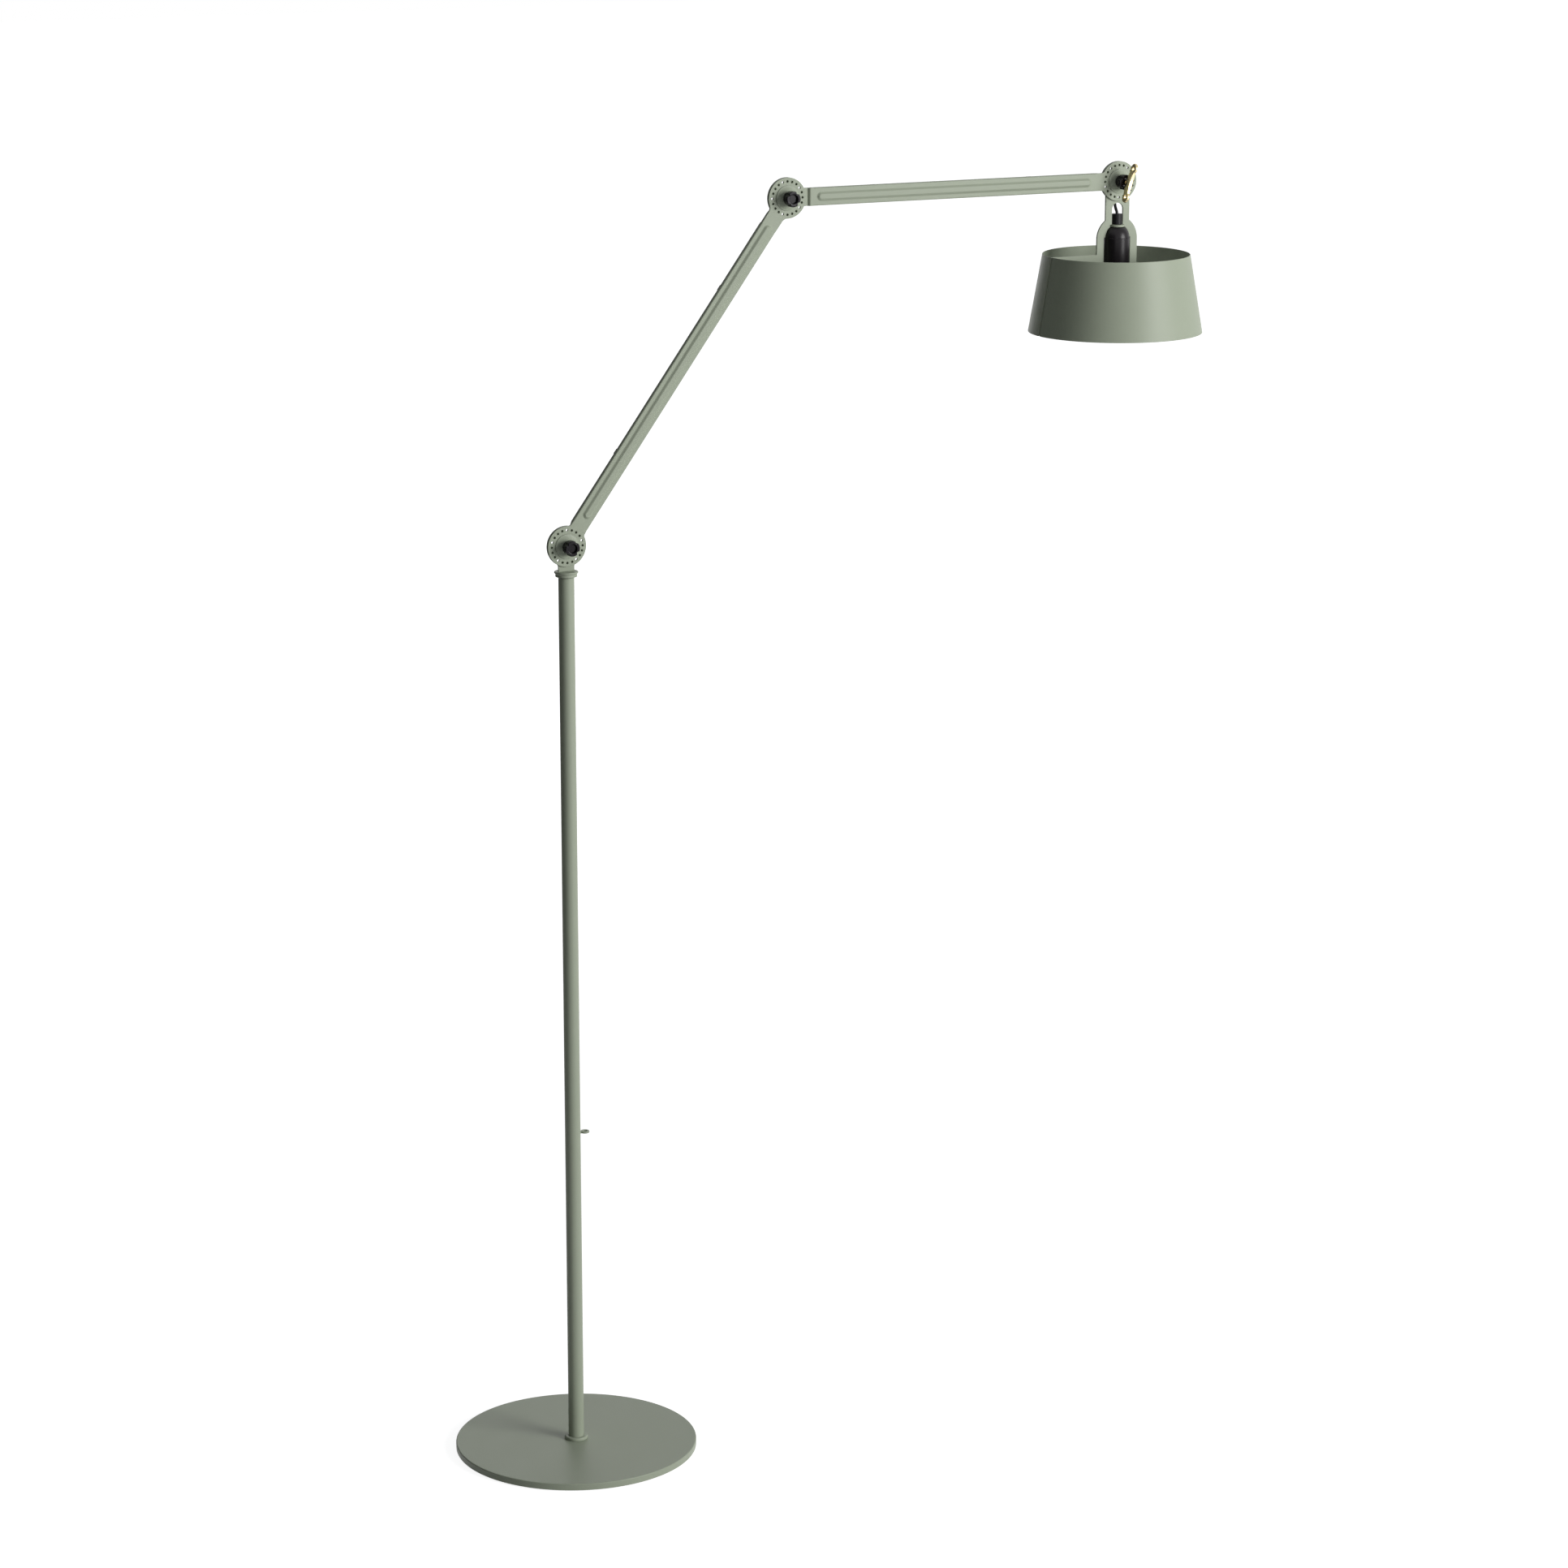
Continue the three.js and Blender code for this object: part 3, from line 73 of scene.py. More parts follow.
hinges = {joint["name"]: np.array(joint["pos_m"]) / mm for joint in frame["joints"]}
firstHinge = hinges["lower_arm_hinge"]
secondHinge = hinges["upper_arm_hinge"]
thirdHinge = hinges["shade_hinge"]
armStep = secondHinge - firstHinge
lowerLength = float(np.hypot(armStep[0], armStep[2]))
lowerAngle = float(np.degrees(np.arctan2(armStep[2], armStep[0])))
upperLength = float(thirdHinge[0] - secondHinge[0])
print("frame loaded")

# the camera stands back to the left of the lamp and looks slightly down
cameraPlace = {"location": (-2.3374, -5.5896, 2.461), "pitchDown": 13.63, "yawRight": 25.561, "lens": 101.55}


# the camera looks along +Y, is turned right about Z, and then looks down
def makeCamera(place):
    data = bpy.data.cameras.new("camera")
    data.lens = place["lens"]
    data.sensor_width = 36
    data.clip_start, data.clip_end = 0.1, 100
    camera = bpy.data.objects.new("camera", data)
    camera.location = place["location"]
    camera.rotation_euler = (math.radians(90 - place["pitchDown"]), 0, -math.radians(place["yawRight"]))
    scene.collection.objects.link(camera)
    scene.camera = camera


makeCamera(cameraPlace)

# a soft key from the right and slightly above, a weak fill behind, a weak sky, white behind
# everything, and a dark curved card on the left that keeps the left sides dark
studio = {
    "target": (0.4, 0.0, 1.1),
    "distance": 7.0,
    "size": 3.8,
    "keyAngle": -56,
    "keyHeight": 13,
    "keyPower": 412,
    "fillAngle": 80,
    "fillHeight": 0,
    "fillPower": 25,
    "skyTone": (0.94, 0.97, 1.0),
    "skyStrength": 0.2,
    "cardRadius": 3.0,
    "cardFrom": 95,
    "cardTo": 235,
    "cardLift": 0.02,
    "cardHeight": 3.4,
    "cardTone": 0.14,
}
floorShape = {"size": 60, "tone": 0.55, "near": 1.2, "far": 4.0, "nearGlow": 0.88}
white = (1, 1, 1, 1)


# sets some of a shader node's inputs
def withInputs(node, values):
    for socket, value in values.items():
        node.inputs[socket].default_value = value
    return node


# a new material with its nodes and links
def newMaterial(name):
    material = bpy.data.materials.new(name)
    material.use_nodes = True
    return material, material.node_tree.nodes, material.node_tree.links


# a round area light that faces the target
def aimedLight(name, location, target, power, size):
    data = bpy.data.lights.new(name, "AREA")
    data.shape = "DISK"
    data.size = size
    data.energy = power
    light = bpy.data.objects.new(name, data)
    light.location = location
    light.rotation_euler = (Vector(target) - Vector(location)).to_track_quat("-Z", "Y").to_euler()
    scene.collection.objects.link(light)


# both lights stand on a sphere about the target, each at an angle round it and a height in
# degrees, and the sky lights the lamp weakly while the backdrop shows white
def makeStudio(values):
    target = np.array(values["target"])
    for name in ("key", "fill"):
        turn, rise = math.radians(values[name + "Angle"]), math.radians(values[name + "Height"])
        way = np.array([math.cos(turn) * math.cos(rise), math.sin(turn) * math.cos(rise), math.sin(rise)])
        place = target + way * values["distance"]
        aimedLight(name + "Light", place, target, values[name + "Power"], values["size"])
    world = bpy.data.worlds.new("studioWorld")
    world.use_nodes = True
    nodes, links = world.node_tree.nodes, world.node_tree.links
    nodes.clear()
    skyValues = {"Color": (*values["skyTone"], 1), "Strength": values["skyStrength"]}
    sky = withInputs(nodes.new("ShaderNodeBackground"), skyValues)
    backdrop = withInputs(nodes.new("ShaderNodeBackground"), {"Color": white})
    mix = nodes.new("ShaderNodeMixShader")
    output = nodes.new("ShaderNodeOutputWorld")
    links.new(seenDirectly(nodes, links), mix.inputs["Fac"])
    links.new(sky.outputs["Background"], mix.inputs[1])
    links.new(backdrop.outputs["Background"], mix.inputs[2])
    links.new(mix.outputs["Shader"], output.inputs["Surface"])
    scene.world = world


# 1 for rays from the camera, from a mirror or through glass, 0 for the rest
def seenDirectly(nodes, links):
    path = nodes.new("ShaderNodeLightPath")
    first = nodes.new("ShaderNodeMath")
    second = nodes.new("ShaderNodeMath")
    first.operation = second.operation = "MAXIMUM"
    links.new(path.outputs["Is Camera Ray"], first.inputs[0])
    links.new(path.outputs["Is Glossy Ray"], first.inputs[1])
    links.new(first.outputs[0], second.inputs[0])
    links.new(path.outputs["Is Transmission Ray"], second.inputs[1])
    return second.outputs[0]


# a surface of the studio, which isn't part of the lamp
def addStage(name, points, faces, material):
    mesh = bpy.data.meshes.new(name)
    mesh.from_pydata(points, [], faces)
    mesh.materials.append(material)
    surface = bpy.data.objects.new(name, mesh)
    scene.collection.objects.link(surface)
    return surface


# the card is part of an upright cylinder about the target, which the camera doesn't see
def makeCard(values, steps=40):
    angles = np.radians(np.linspace(values["cardFrom"], values["cardTo"], steps))
    ring = np.stack([np.cos(angles), np.sin(angles)], -1) * values["cardRadius"] + values["target"][:2]
    low = np.column_stack([ring, np.full(steps, values["cardLift"])])
    points = np.concatenate([low, low + (0, 0, values["cardHeight"])])
    material, nodes, _ = newMaterial("cardPaint")
    tone = (*[values["cardTone"]] * 3, 1)
    withInputs(nodes["Principled BSDF"], {"Base Color": tone, "Roughness": 1.0, "Specular IOR Level": 0.0})
    faces = gridQuads(2, steps, closeColumns=False)
    card = addStage("darkCard", points.tolist(), faces.tolist(), material)
    card.visible_camera = False


# a pale floor that shows white where the light reaches it, keeps the shadow near the lamp, and
# grows to plain white away from it
def makeFloor(shape):
    half = shape["size"] / 2
    material, nodes, links = newMaterial("floorPaint")
    nodes.clear()
    paint = withInputs(nodes.new("ShaderNodeBsdfDiffuse"), {"Color": (*[shape["tone"]] * 3, 1)})
    glow = withInputs(nodes.new("ShaderNodeEmission"), {"Color": white})
    place = nodes.new("ShaderNodeTexCoord")
    away = nodes.new("ShaderNodeVectorMath")
    away.operation = "LENGTH"
    rise = nodes.new("ShaderNodeMapRange")
    rise.interpolation_type = "SMOOTHSTEP"
    span = {"From Min": shape["near"], "From Max": shape["far"], "To Min": shape["nearGlow"], "To Max": 1.0}
    withInputs(rise, span)
    strength = nodes.new("ShaderNodeMath")
    strength.operation = "MULTIPLY"
    add = nodes.new("ShaderNodeAddShader")
    output = nodes.new("ShaderNodeOutputMaterial")
    links.new(place.outputs["Object"], away.inputs[0])
    links.new(away.outputs["Value"], rise.inputs["Value"])
    links.new(seenDirectly(nodes, links), strength.inputs[0])
    links.new(rise.outputs["Result"], strength.inputs[1])
    links.new(strength.outputs[0], glow.inputs["Strength"])
    links.new(paint.outputs["BSDF"], add.inputs[0])
    links.new(glow.outputs["Emission"], add.inputs[1])
    links.new(add.outputs["Shader"], output.inputs["Surface"])
    corners = [(-half, -half, 0), (half, -half, 0), (half, half, 0), (-half, half, 0)]
    addStage("floor", corners, [(0, 1, 2, 3)], material)


# a finish: a slow drift of tone and roughness over the piece, and a fine grain as bump
def newFinish(name, tone, drift=0.04, driftScale=25, roughness=0.45, roughSpread=0.05, grain=0.1,
              grainScale=900, grainDepth=0.00015, metallic=0.0, specular=0.5, coat=0.0, coatRoughness=0.12):
    material, nodes, links = newMaterial(name)
    shader = nodes["Principled BSDF"]
    withInputs(shader, {"Metallic": metallic, "Specular IOR Level": specular})
    withInputs(shader, {"Coat Weight": coat, "Coat Roughness": coatRoughness})
    place = nodes.new("ShaderNodeTexCoord")
    cloud = withInputs(nodes.new("ShaderNodeTexNoise"), {"Scale": driftScale, "Detail": 3})
    links.new(place.outputs["Object"], cloud.inputs["Vector"])
    mix = nodes.new("ShaderNodeMix")
    mix.data_type = "RGBA"
    low, high = [c * (1 - drift) for c in tone], [min(1, c * (1 + drift)) for c in tone]
    withInputs(mix, {"A": (*low, 1), "B": (*high, 1)})
    links.new(cloud.outputs["Fac"], mix.inputs["Factor"])
    links.new(mix.outputs["Result"], shader.inputs["Base Color"])
    spots = withInputs(nodes.new("ShaderNodeTexNoise"), {"Scale": grainScale, "Detail": 2})
    links.new(place.outputs["Object"], spots.inputs["Vector"])
    span = {"To Min": max(0.02, roughness - roughSpread), "To Max": roughness + roughSpread}
    spread = withInputs(nodes.new("ShaderNodeMapRange"), span)
    links.new(cloud.outputs["Fac"], spread.inputs["Value"])
    links.new(spread.outputs["Result"], shader.inputs["Roughness"])
    bump = withInputs(nodes.new("ShaderNodeBump"), {"Strength": grain, "Distance": grainDepth})
    links.new(spots.outputs["Fac"], bump.inputs["Height"])
    links.new(bump.outputs["Normal"], shader.inputs["Normal"])
    return material


finishes = {
    "sage_powder_coat": newFinish("sagePowderCoat", (0.335, 0.375, 0.288), drift=0.03, roughness=0.46,
                                  grain=0.35, grainScale=1400, specular=0.3),
    "black_gloss_plastic": newFinish("blackKnobPlastic", (0.007, 0.005, 0.008), drift=0.2, roughness=0.20,
                                     grain=0.08, grainScale=500, specular=0.15),
    "black_phenolic": newFinish("blackHolderPlastic", (0.010, 0.008, 0.010), drift=0.15, roughness=0.30,
                                grain=0.12, grainScale=700, specular=0.25),
    "black_nylon": newFinish("blackNylon", (0.009, 0.009, 0.010), drift=0.1, roughness=0.38, grain=0.2,
                             specular=0.2),
    "black_rubber": newFinish("blackRubber", (0.012, 0.012, 0.012), drift=0.1, roughness=0.85, grain=0.6),
    "cable_sheath": newFinish("cableSheath", (0.008, 0.008, 0.009), drift=0.12, roughness=0.5, grain=0.4,
                              specular=0.25),
    "zinc_steel": newFinish("zincSteel", (0.38, 0.38, 0.37), drift=0.05, roughness=0.36, grain=0.15,
                            metallic=1.0),
    "plain_brass": newFinish("plainBrass", (0.62, 0.45, 0.20), drift=0.06, roughness=0.30, metallic=1.0),
    "polished_brass": newFinish("polishedBrass", (0.66, 0.55, 0.32), drift=0.05, roughness=0.23, grain=0.05,
                                roughSpread=0.03, metallic=1.0),
    "white_ceramic": newFinish("whiteCeramic", (0.80, 0.78, 0.72), drift=0.03, roughness=0.22, grain=0.1,
                               coat=0.3),
    "opal_glass": newFinish("opalGlass", (0.86, 0.85, 0.81), drift=0.01, roughness=0.18, grain=0.02,
                            coat=0.5),
}
slotOf = {part["node"]: part["material_slot"] for part in frame["record"]["subparts"]}
bodyOf = {node: body for body, nodes in frame["record"]["behaviour"]["bodies"].items() for node in nodes}
for name, node in frame["nodes"].items():
    node.data.materials.clear()
    node.data.materials.append(finishes[slotOf[name]])
print("finishes made")


# shape tools: a shell is (points, polygons), with points in millimetres

# quads between neighbouring rows and columns of a grid, which may close on itself
def gridQuads(rows, columns, closeColumns=True, closeRows=False):
    i = np.arange(rows if closeRows else rows - 1)[:, None]
    j = np.arange(columns if closeColumns else columns - 1)[None, :]
    nextI, nextJ = (i + 1) % rows, (j + 1) % columns
    quads = [i * columns + j, i * columns + nextJ, nextI * columns + nextJ, nextI * columns + j]
    return np.stack(quads, -1).reshape(-1, 4)


# shells put one after another, with their indices moved on
def together(*shells):
    points, polygons, start = [], [], 0
    for shellPoints, shellPolygons in shells:
        points.append(shellPoints)
        polygons += [part + start for part in shellPolygons]
        start += len(shellPoints)
    return np.concatenate(points), polygons


# corners of a polyline, each cut by an arc that touches both of its sides
def rounded(corners, closed=True, steps=5):
    corners = [tuple(c) + (0,) * (3 - len(c)) for c in corners]
    count, result = len(corners), []
    for k, (x, y, radius) in enumerate(corners):
        here = np.array([x, y], float)
        if radius <= 0 or (not closed and k in (0, count - 1)):
            result.append(here)
            continue
        before = np.array(corners[k - 1][:2]) - here
        after = np.array(corners[(k + 1) % count][:2]) - here
        before, after = before / np.linalg.norm(before), after / np.linalg.norm(after)
        half = math.acos(np.clip(before @ after, -1, 1)) / 2
        middle = here + (before + after) / np.linalg.norm(before + after) * radius / math.sin(half)
        first = here + before * radius / math.tan(half) - middle
        last = here + after * radius / math.tan(half) - middle
        start = math.atan2(first[1], first[0])
        turn = (math.atan2(last[1], last[0]) - start + math.pi) % (2 * math.pi) - math.pi
        angles = start + turn * np.linspace(0, 1, steps + 1)
        result += list(middle + radius * np.stack([np.cos(angles), np.sin(angles)], -1))
    return np.array(result)


# points on an arc between two angles in degrees
def arc(x, y, radius, start, end, steps):
    angles = np.radians(np.linspace(start, end, steps + 1))
    return np.stack([x + radius * np.cos(angles), y + radius * np.sin(angles)], -1)


# a full arc without its repeated last point
def circle(x, y, radius, steps=28):
    return arc(x, y, radius, 0, 360, steps)[:-1]


# surface of revolution: a profile of radius and height turned about Z
def turned(profile, sides=96):
    profile = np.asarray(profile, float)
    angles = np.linspace(0, 2 * np.pi, sides, endpoint=False)
    onAxis = profile[0, 0] < 1e-6 and profile[-1, 0] < 1e-6
    rows = profile[1:-1] if onAxis else profile
    ring = np.stack([np.cos(angles), np.sin(angles)], -1)
    points = np.concatenate([
        rows[:, None, :1] * ring[None],
        np.broadcast_to(rows[:, None, 1:], (len(rows), sides, 1)),
    ], -1).reshape(-1, 3)
    polygons = [gridQuads(len(rows), sides, closeRows=not onAxis)]
    if onAxis:
        total, column = len(points), np.arange(sides)
        beyond = (column + 1) % sides
        last = (len(rows) - 1) * sides
        points = np.concatenate([points, [[0, 0, profile[0, 1]], [0, 0, profile[-1, 1]]]])
        polygons.append(np.stack([np.full(sides, total), beyond, column], -1))
        polygons.append(np.stack([np.full(sides, total + 1), last + column, last + beyond], -1))
    return points, polygons


# the same, about an axis along Y: heights run forward, towards -Y, from yBack
def turnedForward(profile, yBack, sides=96):
    points, polygons = turned(profile, sides)
    return np.stack([points[:, 0], yBack - points[:, 2], points[:, 1]], -1), polygons


# the same, about an axis along X at the height z: heights run along +X, from x
def turnedSideways(profile, x, z, sides):
    points, polygons = turned(profile, sides)
    return np.stack([points[:, 2] + x, points[:, 1], z - points[:, 0]], -1), polygons


# profile of a plain round rod
def rod(radius, low, high):
    return [(0, low), (radius, low), (radius, high), (0, high)]


# profile of a ring, whose four corners have their own roundings: inner low, outer low, outer
# high, inner high
def ringProfile(inner, outer, low, high, rounds, steps=5):
    corners = [(inner, low), (outer, low), (outer, high), (inner, high)]
    return rounded([(*corner, radius) for corner, radius in zip(corners, rounds)], steps=steps)


# a rectangle about the origin with round corners
def roundedBox(halfX, halfY, radius, steps=3):
    corners = [(-halfX, -halfY), (halfX, -halfY), (halfX, halfY), (-halfX, halfY)]
    return rounded([(*corner, radius) for corner in corners], steps=steps)


# a plain box between two corners
def blockShell(low, high):
    points = np.stack(np.meshgrid(*zip(low, high), indexing="ij"), -1).reshape(-1, 3)
    quads = np.array([(0, 1, 3, 2), (4, 6, 7, 5), (0, 4, 5, 1), (2, 3, 7, 6), (0, 2, 6, 4), (1, 5, 7, 3)])
    return points, [quads]


# triangles that fill the first loop and leave the others open
def fillLoops(loops):
    flat = [[Vector((x, y, 0)) for x, y in loop] for loop in loops]
    return np.array(tessellate_polygon(flat))


# twice a loop's signed area, above 0 where it runs anticlockwise
def windingOf(loop):
    after = np.roll(loop, -1, 0)
    return np.sum(loop[:, 0] * after[:, 1] - after[:, 0] * loop[:, 1])


# sheet metal drawn in X and Z: each loop carries a rounded edge from the front face to the
# back face, and the faces are filled between the loops. A bead is a list of rings of one
# shape, each with its inset and height, that rise from the front face and sink into the back.
def sheet(loops, front, back, edge=0.4, steps=3, bead=None):
    shells, frontLoops, backLoops, frontStarts, backStarts = [], [], [], [], []
    start = 0
    turn = np.linspace(0, math.pi / 2, steps + 1)
    inset = edge * (1 - np.sin(turn))
    depth = edge * (1 - np.cos(turn))
    insets = np.concatenate([inset, inset[::-1]])
    depths = np.concatenate([front + depth, (back - depth)[::-1]])
    for k, loop in enumerate(loops):
        loop = np.asarray(loop, float)
        if (windingOf(loop) > 0) != (k == 0):
            loop = loop[::-1]
        along = np.roll(loop, -1, 0) - np.roll(loop, 1, 0)
        outward = np.stack([along[:, 1], -along[:, 0]], -1) / np.linalg.norm(along, axis=1)[:, None]
        flat = loop[None] - outward[None] * insets[:, None, None]
        points = np.stack([flat[..., 0], np.broadcast_to(depths[:, None], flat.shape[:2]), flat[..., 1]], -1)
        shells.append((points.reshape(-1, 3), [gridQuads(len(insets), len(loop))]))
        frontLoops.append(flat[0])
        backLoops.append(flat[-1])
        frontStarts.append(start + np.arange(len(loop)))
        backStarts.append(start + (len(insets) - 1) * len(loop) + np.arange(len(loop)))
        start += len(insets) * len(loop)
    if bead:
        for face, loopList, startList in ((front, frontLoops, frontStarts), (back, backLoops, backStarts)):
            rows = [bead["ring"](s) for s, _ in bead["profile"]]
            heights = np.array([h for _, h in bead["profile"]])
            flat = np.stack(rows)
            level = np.broadcast_to(face - heights[:, None], flat.shape[:2])
            points = np.stack([flat[..., 0], level, flat[..., 1]], -1).reshape(-1, 3)
            last = (len(rows) - 1) * len(rows[0])
            shells.append((points, [gridQuads(len(rows), len(rows[0])), fillLoops([rows[-1]]) + last]))
            loopList.append(rows[0])
            startList.append(start + np.arange(len(rows[0])))
            start += len(points)
    points, polygons = together(*shells)
    polygons.append(np.concatenate(frontStarts)[fillLoops(frontLoops)])
    polygons.append(np.concatenate(backStarts)[fillLoops(backLoops)])
    return points, polygons


# a closed section carried along a line of places, each with its own two directions
def carried(section, places, across, upward, closed=False):
    section = np.asarray(section, float)
    points = (places[:, None, :] + section[None, :, :1] * across[:, None, :]
              + section[None, :, 1:] * upward[:, None, :]).reshape(-1, 3)
    polygons = [gridQuads(len(places), len(section), closeRows=closed)]
    if not closed:
        cap = fillLoops([section])
        polygons += [cap, cap + (len(places) - 1) * len(section)]
    return points, polygons


# a smooth line through a few points: every span is a cubic whose ends follow the neighbours,
# with the points' own distances as its pace, so that uneven spans don't loop back
def smoothLine(points, perSpan=12):
    points = np.asarray(points, float)
    ends = np.concatenate([[2 * points[0] - points[1]], points, [2 * points[-1] - points[-2]]])
    pace = np.sqrt(np.linalg.norm(np.diff(ends, axis=0), axis=1))
    before, here, after = pace[:-2, None], pace[1:-1, None], pace[2:, None]
    p0, p1, p2, p3 = ends[:-3], ends[1:-2], ends[2:-1], ends[3:]
    leave = here * ((p1 - p0) / before - (p2 - p0) / (before + here) + (p2 - p1) / here)
    arrive = here * ((p2 - p1) / here - (p3 - p1) / (here + after) + (p3 - p2) / after)
    t = np.linspace(0, 1, perSpan, endpoint=False)[None, :, None]
    p1, p2, leave, arrive = p1[:, None], p2[:, None], leave[:, None], arrive[:, None]
    line = ((2 * t**3 - 3 * t**2 + 1) * p1 + (t**3 - 2 * t**2 + t) * leave
            + (3 * t**2 - 2 * t**3) * p2 + (t**3 - t**2) * arrive)
    return np.concatenate([line.reshape(-1, 3), points[-1:]])


# a round cable along a line: the section is turned as little as possible from place to place
def cableShell(line, radius, sides=20):
    along = np.gradient(line, axis=0)
    along /= np.linalg.norm(along, axis=1)[:, None]
    across = np.zeros_like(line)
    side = np.cross(along[0], (0.3, 0.9, 0.31))
    for k, direction in enumerate(along):
        side = side - direction * (side @ direction)
        side = side / np.linalg.norm(side)
        across[k] = side
    angles = np.linspace(0, 2 * np.pi, sides, endpoint=False)
    section = radius * np.stack([np.cos(angles), np.sin(angles)], -1)
    return carried(section, line, across, np.cross(along, across))


# turns a shell drawn at the origin by an angle about Y and moves it to a hinge
def atHinge(shell, hinge, angle=0.0):
    points, polygons = shell
    c, s = math.cos(math.radians(angle)), math.sin(math.radians(angle))
    x, y, z = points.T
    moved = np.stack([hinge[0] + x * c - z * s, hinge[1] + y, hinge[2] + x * s + z * c], -1)
    return moved, polygons


# moves a shell without a turn
def moved(shell, x=0.0, y=0.0, z=0.0):
    return shell[0] + np.array([x, y, z]), shell[1]


# a mesh object from a shell, with doubles merged and its faces turned outwards
def meshObject(name, shell):
    points, polygons = shell
    mesh = bpy.data.meshes.new(name)
    mesh.vertices.add(len(points))
    mesh.vertices.foreach_set("co", (np.asarray(points) * mm).astype(np.float32).ravel())
    corners = np.concatenate([part.ravel() for part in polygons])
    sizes = np.concatenate([np.full(len(part), part.shape[1]) for part in polygons])
    mesh.loops.add(len(corners))
    mesh.loops.foreach_set("vertex_index", corners.astype(np.int32))
    mesh.polygons.add(len(sizes))
    mesh.polygons.foreach_set("loop_start", (np.cumsum(sizes) - sizes).astype(np.int32))
    mesh.update(calc_edges=True)
    mesh.validate()
    tidyMesh(mesh)
    piece = bpy.data.objects.new(name, mesh)
    scene.collection.objects.link(piece)
    return piece


# merges points nearer than a few thousandths of a millimetre and turns all faces outwards
def tidyMesh(mesh, near=0.000002):
    work = bmesh.new()
    work.from_mesh(mesh)
    bmesh.ops.remove_doubles(work, verts=work.verts, dist=near)
    bmesh.ops.dissolve_degenerate(work, edges=work.edges, dist=near)
    bmesh.ops.recalc_face_normals(work, faces=work.faces)
    work.to_mesh(mesh)
    work.free()


# joins or cuts a piece by other shells
def worked(piece, shells, operation):
    for k, shell in enumerate(shells):
        tool = meshObject(f"{piece.name}Tool{k}", shell)
        step = piece.modifiers.new("step", "BOOLEAN")
        step.operation = operation
        step.solver = "MANIFOLD"
        step.object = tool
        bpy.context.view_layer.update()
        graph = bpy.context.evaluated_depsgraph_get()
        mesh = bpy.data.meshes.new_from_object(piece.evaluated_get(graph))
        piece.modifiers.clear()
        piece.data = mesh
        bpy.data.objects.remove(tool)
    tidyMesh(piece.data)
    return piece


# gives a piece the finish and the body of the CAD node that it replaces; large faces lead the
# normals, so that flat sheet stays flat beside its round edges. A cable loop rides on no body
# of its own, because it bends between two.
def dressed(piece, node, sharpAngle=32, rides=True):
    piece.data.materials.clear()
    piece.data.materials.append(finishes[slotOf[node]])
    piece.data.shade_smooth()
    piece.data.set_sharp_from_angle(angle=math.radians(sharpAngle))
    if rides:
        level = piece.modifiers.new("flatFaces", "WEIGHTED_NORMAL")
        level.mode = "FACE_AREA"
        level.weight = 90
        level.keep_sharp = True
        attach(piece, bodyOf[node])
    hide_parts(node)
    return piece


# makes a piece of the lamp from a shell
def addPiece(name, shell, node, sharpAngle=32, rides=True):
    return dressed(meshObject(name, shell), node, sharpAngle, rides)


# sheet metal shapes that the hinges share
hingeShape = {
    "discRadius": 28.7,
    "indexCircle": 23.2,
    "frontHole": 1.65,
    "frontHoles": 20,
    "rearHole": 3.0,
    "rearHoles": 5,
    "sheet": 3.0,
    "boreRadius": 4.2,
    "squareHalf": 4.3,
    "squareRound": 0.6,
    "edge": 0.45,
}
rearFront, rearBack = -hingeShape["sheet"] / 2, hingeShape["sheet"] / 2
discBack = rearFront - gap
discFront = discBack - hingeShape["sheet"]


# the index holes of a front or a rear plate, with one of them at the start angle
def indexHoles(x, z, side, start):
    count, size, radius = hingeShape[f"{side}Holes"], hingeShape[f"{side}Hole"], hingeShape["indexCircle"]
    angles = np.radians(start + 360 * np.arange(count) / count)
    return [circle(x + radius * math.cos(a), z + radius * math.sin(a), size, 24) for a in angles]


# a rear plate: an outline with a square bore, index holes and what other holes it has
def rearPlate(outline, start, otherHoles=()):
    holes = [squareBore(), *otherHoles] + indexHoles(0, 0, "rear", start)
    return sheet([outline] + holes, rearFront, rearBack, hingeShape["edge"])


# the hole for a bolt's square neck
def squareBore():
    return roundedBox(hingeShape["squareHalf"], hingeShape["squareHalf"], hingeShape["squareRound"])


# a disc with two fillets that lead to a strip along +X, from the strip's upper side
# anticlockwise round the disc to its lower side
def discEnd(halfWidth, fillet):
    radius = hingeShape["discRadius"]
    reach = math.sqrt((radius + fillet) ** 2 - (halfWidth + fillet) ** 2)
    angle = math.degrees(math.atan2(halfWidth + fillet, reach))
    upper = arc(reach, halfWidth + fillet, fillet, -90, angle - 180, 10)
    disc = arc(0, 0, radius, angle, 360 - angle, 120)
    lower = arc(reach, -halfWidth - fillet, fillet, 180 - angle, 90, 10)
    return np.concatenate([upper, disc[1:-1], lower])


# the same at a strip's far end: turned half round and moved on by the length
def farDiscEnd(length, halfWidth, fillet):
    loop = discEnd(halfWidth, fillet)
    return np.stack([length - loop[:, 0], -loop[:, 1]], -1)


print("shape tools ready")

makeStudio(studio)
makeCard(studio)
makeFloor(floorShape)
print("camera, lights and floor made")

